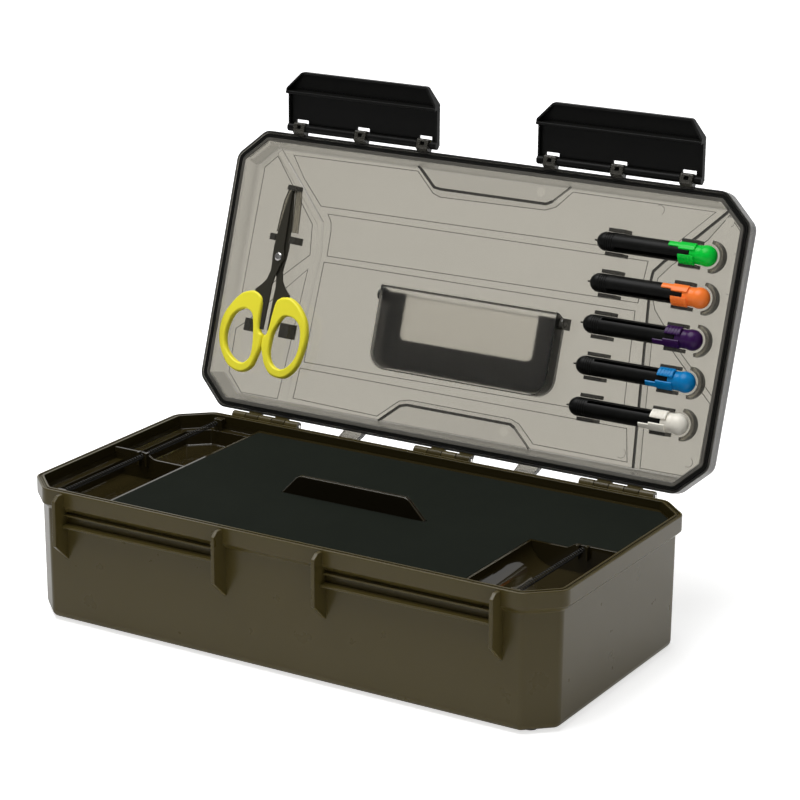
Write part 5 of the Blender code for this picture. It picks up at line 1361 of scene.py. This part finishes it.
def draw_cap(bm):
    """The plug in the barrel, the neck and the ball."""
    start = -math.acos(NECK_R / BALL_R)
    ball = []
    for step in range(16):
        angle = start + (math.pi / 2 - start) * step / 16
        ball.append((TOOL_LENGTH - BALL_R * (1 - math.sin(angle)), BALL_R * math.cos(angle)))
    neck = [(BARREL_END + 0.3, NECK_R - 0.3), (BARREL_END + 0.6, NECK_R), (BARREL_END + 4, NECK_R - 0.1)]
    stops = [(BARREL_END - 3, 3.9), (BARREL_END + 0.3, 3.9), *neck, *ball, (TOOL_LENGTH, 0.2)]
    lathe(bm, stops, sides=48)


def draw_tongue(way):
    """The stepped tongue that lies on the barrel, and the web that ties it to the ball."""
    angle = -math.pi / 2 - way * TONGUE_TURN
    out = Vector((math.cos(angle), math.sin(angle)))

    def bow(radius, half):
        turn = half / radius
        return [tuple(Matrix.Rotation(turn * (step / 4 - 1), 2) @ out * radius) for step in range(9)]

    def draw(bm):
        low, high, end = TOOL_R + PLAY, TOOL_R + 1.0, BARREL_END + 3.6
        slab(bm, bow(low, 1.9) + bow(high, 1.7)[::-1], BARREL_END - 14.0, end, "x", 0.12, 2)
        slab(bm, bow(low, 3.2) + bow(high, 3.0)[::-1], BARREL_END - 7.0, end, "x", 0.12, 2)
        slab(bm, bow(2.7, 1.0) + bow(high, 1.7)[::-1], BARREL_END + 0.6, end, "x", 0.0)
    return draw


def draw_slider(bm):
    """The carrier in the barrel, its stem and the ribbed thumb plate."""
    front = BARREL_END - 6.6
    back = front + 10.6
    inside = BARREL_END - 3.6
    seat, top, rib = TOOL_R + PLAY, TOOL_R + 1.3, TOOL_R + 1.3 + 0.35
    rod(bm, (0, 0, 0), front, inside, 2.6, soft=0.2)
    block(bm, (front, -0.8, -seat - 0.3), (inside, 0.8, 0))
    turns = [3.3 / seat * (step / 6 - 1) for step in range(13)]
    low = [(math.sin(turn) * seat, -math.cos(turn) * seat) for turn in turns]
    mid = [(y * top / seat, z * top / seat) for y, z in low]
    slab(bm, low + mid[::-1], front, back, "x", 0.3, 3)
    ribs = [(y * 0.9, z) for y, z in mid]
    ribs += [(y * rib / top, z * rib / top) for y, z in ribs[::-1]]
    for number in range(5):
        x = front + 1.1 + number * 2.0
        slab(bm, ribs, x, x + 1.2, "x", 0.15, 2)


def draw_needle(bm):
    """A thin pin whose tip just stands out of the barrel."""
    lathe(bm, [(-2.3, 0.45), (-2.1, 0.6), (-0.8, 0.6), (BARREL_END - 6.3, 0.6)], sides=20)


# Panel settings


def colour(name, description, default):
    """A colour on the panel."""
    return bpy.props.FloatVectorProperty(
        name=name, description=description, subtype="COLOR", default=default, min=0, max=1
    )


def length(name, description, default, low, high):
    """A short length on the panel, in metres."""
    return bpy.props.FloatProperty(
        name=name, description=description, unit="LENGTH", default=default, min=low, max=high, precision=5
    )


def power(name, description, default):
    """A lamp's power on the panel."""
    return bpy.props.FloatProperty(name=name, description=description, unit="POWER", default=default, min=0)


class TackleBoxFinishes(bpy.types.PropertyGroup):
    """Colours of the box's materials."""

    olive: colour("Box", "Colour of the box", (0.063, 0.048, 0.013))
    tray_olive: colour("Tray", "Colour of the tray", (0.024, 0.018, 0.006))
    foam: colour("Foam", "Colour of the foam sheet", (0.012, 0.0145, 0.011))
    black: colour("Black parts", "Colour of latches and barrels", (0.0035, 0.0035, 0.003))
    seal: colour("Seal", "Colour of the seal", (0.008, 0.008, 0.007))
    smoke: colour("Lid", "Tint of the see-through lid", (0.322, 0.305, 0.262))
    dark_smoke: colour("Clips", "Tint of the clips and holders", (0.07, 0.066, 0.055))
    bin_smoke: colour("Bin", "Tint of the see-through bin", (0.95, 0.94, 0.92))
    yellow: colour("Scissors' loops", "Colour of the finger loops", (0.95, 0.86, 0.042))
    foot: colour("Feet", "Colour of the feet", (0.015, 0.015, 0.014))
    steel: colour("Steel", "Colour of pins, rivet and springs", (0.62, 0.61, 0.59))
    dark_steel: colour("Dark steel", "Colour of blades and needles", (0.045, 0.042, 0.031))
    white_cap: colour("White tool", "Colour of the white cap", (0.90, 0.86, 0.76))
    blue_cap: colour("Blue tool", "Colour of the blue cap", (0.002, 0.20, 0.50))
    purple_cap: colour("Purple tool", "Colour of the purple cap", (0.034, 0.007, 0.065))
    orange_cap: colour("Orange tool", "Colour of the orange cap", (1.0, 0.22, 0.035))
    green_cap: colour("Green tool", "Colour of the green cap", (0.0, 0.58, 0.045))


class TackleBoxSizes(bpy.types.PropertyGroup):
    """Sizes of the fine parts."""

    spring_wire: length("Spring wire", "Half the thickness of the springs' wire", 0.00032, 0.0001, 0.0005)
    spring_radius: length("Spring radius", "Radius of the springs' coils", 0.0013, 0.0008, 0.0016)
    spring_pitch: length("Spring pitch", "Distance between two coils", 0.0024, 0.0012, 0.006)
    line_width: length("Panel lines", "Width of the fine lines round the lid's panels", 0.0005, 0.0003, 0.001)
    edge_width: length("Broad lines", "Width of the broad lines across the lid", 0.0018, 0.001, 0.003)
    cup_gap: length("Cup gap", "Gap between a tool's ball end and its cup", 0.0013, 0.001, 0.0025)
    loop_thickness: length("Loop thickness", "Thickness of the scissors' finger loops", 0.0052, 0.004, 0.0056)


class TackleBoxStage(bpy.types.PropertyGroup):
    """Levels of the studio's light."""

    overhead: power("Overhead", "Power of the large lamp overhead", 40.0)
    front: power("Front", "Power of the soft lamp in front", 1.2)
    side: power("Side", "Power of the soft lamp on the right", 1.5)
    fill: bpy.props.FloatProperty(
        name="Fill", description="Even light from all sides", default=0.09, min=0, max=2
    )
    floor_size: bpy.props.FloatProperty(
        name="Floor", description="Side of the pale floor", unit="LENGTH", default=6.0, min=1
    )


# Operators


class PieceOperator:
    """What the operators share."""

    bl_options = {"REGISTER", "UNDO"}


class TACKLE_OT_box(PieceOperator, bpy.types.Operator):
    """Build the box with its gusset plates, catch ledges and knuckles"""

    bl_idname = "tackle.box"
    bl_label = "Box"

    def execute(self, context):
        add_piece("box_moulding", draw_shell, ["olive", "inner_olive"], "base", ["base_shell"], steps=[
            ("UNION", draw_box_trim), ("UNION", draw_box_knuckles), ("DIFFERENCE", draw_box_bores),
        ], choose=box_look)
        return {"FINISHED"}


class TACKLE_OT_feet(PieceOperator, bpy.types.Operator):
    """Build the rubber feet and the hinge pins"""

    bl_idname = "tackle.feet"
    bl_label = "Feet and hinge pins"

    def execute(self, context):
        nodes = [f"foot_{number + 1}" for number in range(len(FEET))]
        add_piece("rubber_feet", draw_feet, ["foot"], "base", nodes)
        nodes = ["hinge_pin_left", "hinge_pin_middle", "hinge_pin_right"]
        add_piece("hinge_pins", draw_pins, ["steel"], "base", nodes)
        return {"FINISHED"}


class TACKLE_OT_tray(PieceOperator, bpy.types.Operator):
    """Build the lift-out tray with its compartments and handle tab"""

    bl_idname = "tackle.tray"
    bl_label = "Tray"

    def execute(self, context):
        under = BODY_IN + 1.6
        hollows = [
            (draw_bay_space, lambda bm: block(bm, (-300, -200, -19), (LEFT_WALL - DIVIDER, 200, 5))),
            (draw_bay_space, lambda bm: slab(bm, scoop_outline(), -200, CORNER_Y, "y")),
            (
                lambda bm: box_skin(bm, [(BAY_IN, -DECK), (BAY_IN, 2)]),
                lambda bm: slab(bm, deck_outline(0), -TRAY_LOW, 20),
            ), (
                lambda bm: box_skin(bm, [(under, -TRAY_LOW - 2), (under, -DECK - 1.8)]),
                lambda bm: slab(bm, deck_outline(DIVIDER), -40, 20),
            ),
        ]
        steps = [("DIFFERENCE", shared(first, second)) for first, second in hollows]
        add_piece(
            "tray_moulding", draw_tray_shell, ["tray_olive", "tab_olive"], "tray", ["lift_out_tray"],
            steps=steps + [("UNION", draw_tray_walls)],
        )
        return {"FINISHED"}


class TACKLE_OT_foam(PieceOperator, bpy.types.Operator):
    """Build the foam sheet"""

    bl_idname = "tackle.foam"
    bl_label = "Foam sheet"

    def execute(self, context):
        made = add_piece("foam_sheet", draw_foam_sheet, ["foam"], "tray", ["foam_pad"], steps=[
            ("INTERSECT", draw_foam_bounds), ("DIFFERENCE", draw_foam_slot),
        ])
        return {"FINISHED"}


class TACKLE_OT_springs(PieceOperator, bpy.types.Operator):
    """Wind the rig springs"""

    bl_idname = "tackle.springs"
    bl_label = "Rig springs"

    def execute(self, context):
        for word, (x, y0, y1) in SPRING_LINES.items():
            curve = bpy.data.curves.new(f"spring_{word}", "CURVE")
            curve.dimensions = "3D"
            curve.bevel_depth = context.scene.tackle_box_sizes.spring_wire
            curve.bevel_resolution = 3
            curve.use_fill_caps = True
            points = spring_route(y0, y1)
            spline = curve.splines.new("POLY")
            spline.points.add(len(points) - 1)
            for target, (px, py, pz) in zip(spline.points, points):
                target.co = (*(BOX_SPACE @ Vector((x + px, py, SPRING_LEVEL + pz))), 1.0)
            curve.materials.append(finish("spring_steel"))
            made = bpy.data.objects.new(f"spring_{word}", curve)
            context.scene.collection.objects.link(made)
            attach(made, "tray")
            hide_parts(f"rig_spring_{word}")
        return {"FINISHED"}


class TACKLE_OT_lid(PieceOperator, bpy.types.Operator):
    """Build the see-through lid, its fittings and its seal"""

    bl_idname = "tackle.lid"
    bl_label = "Lid"

    def execute(self, context):
        add_piece("lid_moulding", draw_lid_shell, LID_LOOKS, "lid", ["lid_shell"], LID_SPACE, [
            ("DIFFERENCE", draw_lid_grooves), ("UNION", draw_ejectors), ("UNION", draw_lid_ridge),
        ], choose=lid_look)
        add_piece("lid_fittings", draw_lid_fittings, ["dark_smoke", "hinge_smoke"], "lid", (), LID_SPACE, [
            ("UNION", draw_lid_knuckles), ("DIFFERENCE", draw_lid_bores),
        ], choose=fitting_look)
        for name, draw, looks, choose in (
            ("lid_stops", draw_lid_stops, ["channel_smoke"], None),
            ("tool_cups", draw_cups, ["cup_smoke", "dark_smoke"], cup_shade_look),
            ("blade_sheath", draw_sheath, ["cup_smoke", "dark_smoke"], sheath_shade_look),
        ):
            add_piece(name, draw, looks, "lid", (), LID_SPACE, choose=choose)
        add_piece("lid_seal_ring", draw_seal, ["seal"], "lid", ["lid_seal"], LID_SPACE)
        return {"FINISHED"}


class TACKLE_OT_latches(PieceOperator, bpy.types.Operator):
    """Build both latches"""

    bl_idname = "tackle.latches"
    bl_label = "Latches"

    def execute(self, context):
        for word, span in LATCH_SPANS.items():
            add_piece(
                f"{word}_latch_moulding", draw_latch(span), ["black"], f"{word}_latch", [f"latch_{word}"],
                LATCH_SPACE, [("DIFFERENCE", draw_latch_notches(span))],
            )
        return {"FINISHED"}


class TACKLE_OT_bin(PieceOperator, bpy.types.Operator):
    """Build the tilting bin"""

    bl_idname = "tackle.bin"
    bl_label = "Bin"

    def execute(self, context):
        looks = ["bin_smoke", "bin_edge", "dark_smoke"]
        add_piece("bin_moulding", draw_bin_body, looks, "bin", ["tilting_bin"], LID_SPACE, [
            ("DIFFERENCE", draw_bin_space), ("DIFFERENCE", draw_bin_mouth), ("UNION", draw_bin_pivots),
            ("UNION", draw_bin_bead),
        ], choose=bin_look)
        add_piece("bin_liner", draw_bin_shade_sheet, ["liner"], "bin", (), LID_SPACE)
        return {"FINISHED"}


class TACKLE_OT_scissors(PieceOperator, bpy.types.Operator):
    """Build the scissors"""

    bl_idname = "tackle.scissors"
    bl_label = "Scissors"

    def execute(self, context):
        for way, side in ((-1, "left"), (1, "right")):
            add_piece(
                f"{side}_blade", draw_blade(way), ["dark_steel"], "scissors", [f"scissors_blade_{side}"],
                LID_SPACE, [("DIFFERENCE", draw_blade_hole)],
            )
            add_piece(
                f"{side}_loop", draw_loop(way), ["yellow"], "scissors", [f"scissors_handle_{side}"],
                LID_SPACE, [("DIFFERENCE", draw_loop_hole(way))], angle=50,
            )
        add_piece(
            "pivot_rivet", draw_rivet, ["steel"], "scissors", ["scissors_rivet"], LID_SPACE,
        )
        return {"FINISHED"}


class TACKLE_OT_tools(PieceOperator, bpy.types.Operator):
    """Build the five needle tools"""

    bl_idname = "tackle.tools"
    bl_label = "Needle tools"

    def execute(self, context):
        for number, (t, word) in enumerate(zip(TOOL_ROWS, TOOL_WORDS)):
            way = -1 if number < 3 else 1
            space = tool_space(t, way)
            tool, slide, cap, plastic = f"{word}_tool", f"{word}_slide", [f"{word}_cap"], f"{word}_plastic"
            for name, draw, looks, body, node, steps, slot in (
                ("tube", draw_barrel, ["black"], tool, "barrel", [("DIFFERENCE", draw_barrel_cuts)],
                 "black_plastic"),
                ("ball", draw_cap, cap, tool, "end_cap", [("UNION", draw_tongue(way))], plastic),
                ("thumb_slide", draw_slider, cap, slide, "slider", (), plastic),
                ("pin", draw_needle, ["dark_steel"], slide, "needle", (), "bright_steel"),
            ):
                add_piece(f"{word}_{name}", draw, looks, body, [f"{word}_{node}"], space, steps)
        return {"FINISHED"}


def ray_levels(tree, space, mirrored):
    """Levels for what is seen straight or through plastic and for what is mirrored.

    Mirrored is the ramp along Y that keeps reflections dark in front and bright behind. The kinds of
    ray and the place along Y are handed back too.
    """
    kinds = tree.nodes.new("ShaderNodeLightPath").outputs
    ways = tree.nodes.new("ShaderNodeSeparateXYZ")
    tree.links.new(tree.nodes.new("ShaderNodeTexCoord").outputs[space], ways.inputs[0])
    depth = ways.outputs["Y"]
    seen = sum_of(tree, "MAXIMUM", kinds["Is Camera Ray"], kinds["Is Transmission Ray"])
    shiny = sum_of(tree, "MULTIPLY", kinds["Is Glossy Ray"], ramp(tree, depth, *mirrored))
    return seen, shiny, kinds, depth


def stage_material(name, grey, glow, bounce):
    """A matt surface that the camera sees a little brighter, so that it ends up white."""
    made = bpy.data.materials.new(name)
    made.use_nodes = True
    tree = made.node_tree
    shader = tree.nodes["Principled BSDF"]
    shader.inputs["Base Color"].default_value = (grey, grey, grey, 1.0)
    shader.inputs["Roughness"].default_value = 0.9
    shader.inputs["Specular IOR Level"].default_value = 0.0
    shader.inputs["Emission Color"].default_value = (1, 1, 1, 1)
    seen, shiny, kinds, depth = ray_levels(tree, "Object", mirrored=(-0.2, 0.2, 0.0, 1.0))
    seen = sum_of(tree, "MULTIPLY", seen, ramp(tree, depth, 0.4, 1.4, 1.0, 1.6))
    soft = sum_of(tree, "MULTIPLY", kinds["Is Diffuse Ray"], bounce)
    strength = sum_of(tree, "MAXIMUM", sum_of(tree, "MAXIMUM", seen, shiny), soft)
    tree.links.new(sum_of(tree, "MULTIPLY", strength, glow), shader.inputs["Emission Strength"])
    return made


# The lamps: their setting on the panel, place, aim, width and height, in metres
LAMPS = (
    ("overhead", (-0.3, -0.3, 1.9), (0, 0, 0.1), (1.8, 1.4)),
    ("front", (-0.7, -1.9, 1.0), (0, 0, 0.15), (1.2, 1.2)),
    ("side", (1.9, -0.4, 0.9), (0, 0, 0.1), (1.2, 1.2)),
)
# The camera, in rim millimetres and degrees
CAMERA_PLACE = (837.8, -1336.4, 549.6)
CAMERA_TURNS = (31.086, 17.254, 0.385)
CAMERA_LENS = 124.24


def camera_turn():
    """The camera's axes, from its angles round the box, down on it and round its own line of sight."""
    azimuth, elevation, roll = (math.radians(turn) for turn in CAMERA_TURNS)
    level = math.cos(elevation)
    ahead = Vector((-math.sin(azimuth) * level, math.cos(azimuth) * level, -math.sin(elevation)))
    right = Vector((math.cos(azimuth), math.sin(azimuth), 0))
    up = right.cross(ahead)
    across = right * math.cos(roll) + up * math.sin(roll)
    above = up * math.cos(roll) - right * math.sin(roll)
    return Matrix((across, above, -ahead)).transposed().to_4x4()


class TACKLE_OT_stage(PieceOperator, bpy.types.Operator):
    """Set the floor, the lamps and the camera"""

    bl_idname = "tackle.stage"
    bl_label = "Stage"

    def execute(self, context):
        settings = context.scene.tackle_box_stage
        link = context.scene.collection.objects.link
        half = settings.floor_size / 2
        corners = [(-half, -half, 0), (half, -half, 0), (half, half, 0), (-half, half, 0)]
        mesh = bpy.data.meshes.new("floor")
        mesh.from_pydata(corners, [], [(0, 1, 2, 3)])
        floor = bpy.data.objects.new("floor", mesh)
        mesh.materials.append(stage_material("floor_paper", grey=0.86, glow=0.68, bounce=0.75))
        link(floor)

        world = bpy.data.worlds.new("studio")
        world.use_nodes = True
        tree = world.node_tree
        back = tree.nodes["Background"]
        seen, shiny, _, _ = ray_levels(tree, "Generated", mirrored=(-0.3, 0.4, 0.12, 1.0))
        level = sum_of(tree, "MAXIMUM", sum_of(tree, "MAXIMUM", seen, shiny), settings.fill)
        back.inputs["Color"].default_value = (1, 1, 1, 1)
        tree.links.new(level, back.inputs["Strength"])
        context.scene.world = world

        for word, place, aim, sides in LAMPS:
            lamp = bpy.data.lights.new(f"{word}_lamp", "AREA")
            lamp.shape = "RECTANGLE"
            lamp.size, lamp.size_y = sides
            lamp.energy = getattr(settings, word)
            made = bpy.data.objects.new(f"{word}_lamp", lamp)
            made.location = place
            made.rotation_euler = (Vector(aim) - Vector(place)).to_track_quat("-Z", "Y").to_euler()
            link(made)

        lens = bpy.data.cameras.new("photo_camera")
        lens.lens = CAMERA_LENS
        lens.sensor_width = 36.0
        lens.clip_end = 50
        camera = bpy.data.objects.new("photo_camera", lens)
        camera.matrix_world = Matrix.Translation(BOX_SPACE @ Vector(CAMERA_PLACE)) @ camera_turn()
        link(camera)
        context.scene.camera = camera
        context.scene.view_settings.view_transform = "Standard"
        return {"FINISHED"}


OPERATORS = (
    TACKLE_OT_stage, TACKLE_OT_box, TACKLE_OT_feet, TACKLE_OT_tray, TACKLE_OT_foam, TACKLE_OT_springs,
    TACKLE_OT_lid, TACKLE_OT_latches, TACKLE_OT_bin, TACKLE_OT_scissors, TACKLE_OT_tools,
)


class TACKLE_PT_panel(bpy.types.Panel):
    """Lists the settings and one button for each piece"""

    bl_idname = "TACKLE_PT_panel"
    bl_label = "Tackle Box"
    bl_space_type = "VIEW_3D"
    bl_region_type = "UI"
    bl_category = "Tackle Box"

    def draw(self, context):
        for group in SETTINGS:
            settings = getattr(context.scene, group)
            for key in settings.bl_rna.properties.keys():
                if key not in ("rna_type", "name"):
                    self.layout.prop(settings, key)
        for operator in OPERATORS:
            self.layout.operator(operator.bl_idname)


SETTINGS = {
    "tackle_box_sizes": TackleBoxSizes,
    "tackle_box_finishes": TackleBoxFinishes,
    "tackle_box_stage": TackleBoxStage,
}
CLASSES = (*SETTINGS.values(), *OPERATORS, TACKLE_PT_panel)


def register():
    for kind in CLASSES:
        bpy.utils.register_class(kind)
    for name, kind in SETTINGS.items():
        setattr(bpy.types.Scene, name, bpy.props.PointerProperty(type=kind))


def unregister():
    for name in SETTINGS:
        delattr(bpy.types.Scene, name)
    for kind in reversed(CLASSES):
        bpy.utils.unregister_class(kind)


def main():
    """Builds everything."""
    register()
    for operator in OPERATORS:
        group, name = operator.bl_idname.split(".")
        getattr(getattr(bpy.ops, group), name)()


if __name__ == "__main__":
    main()
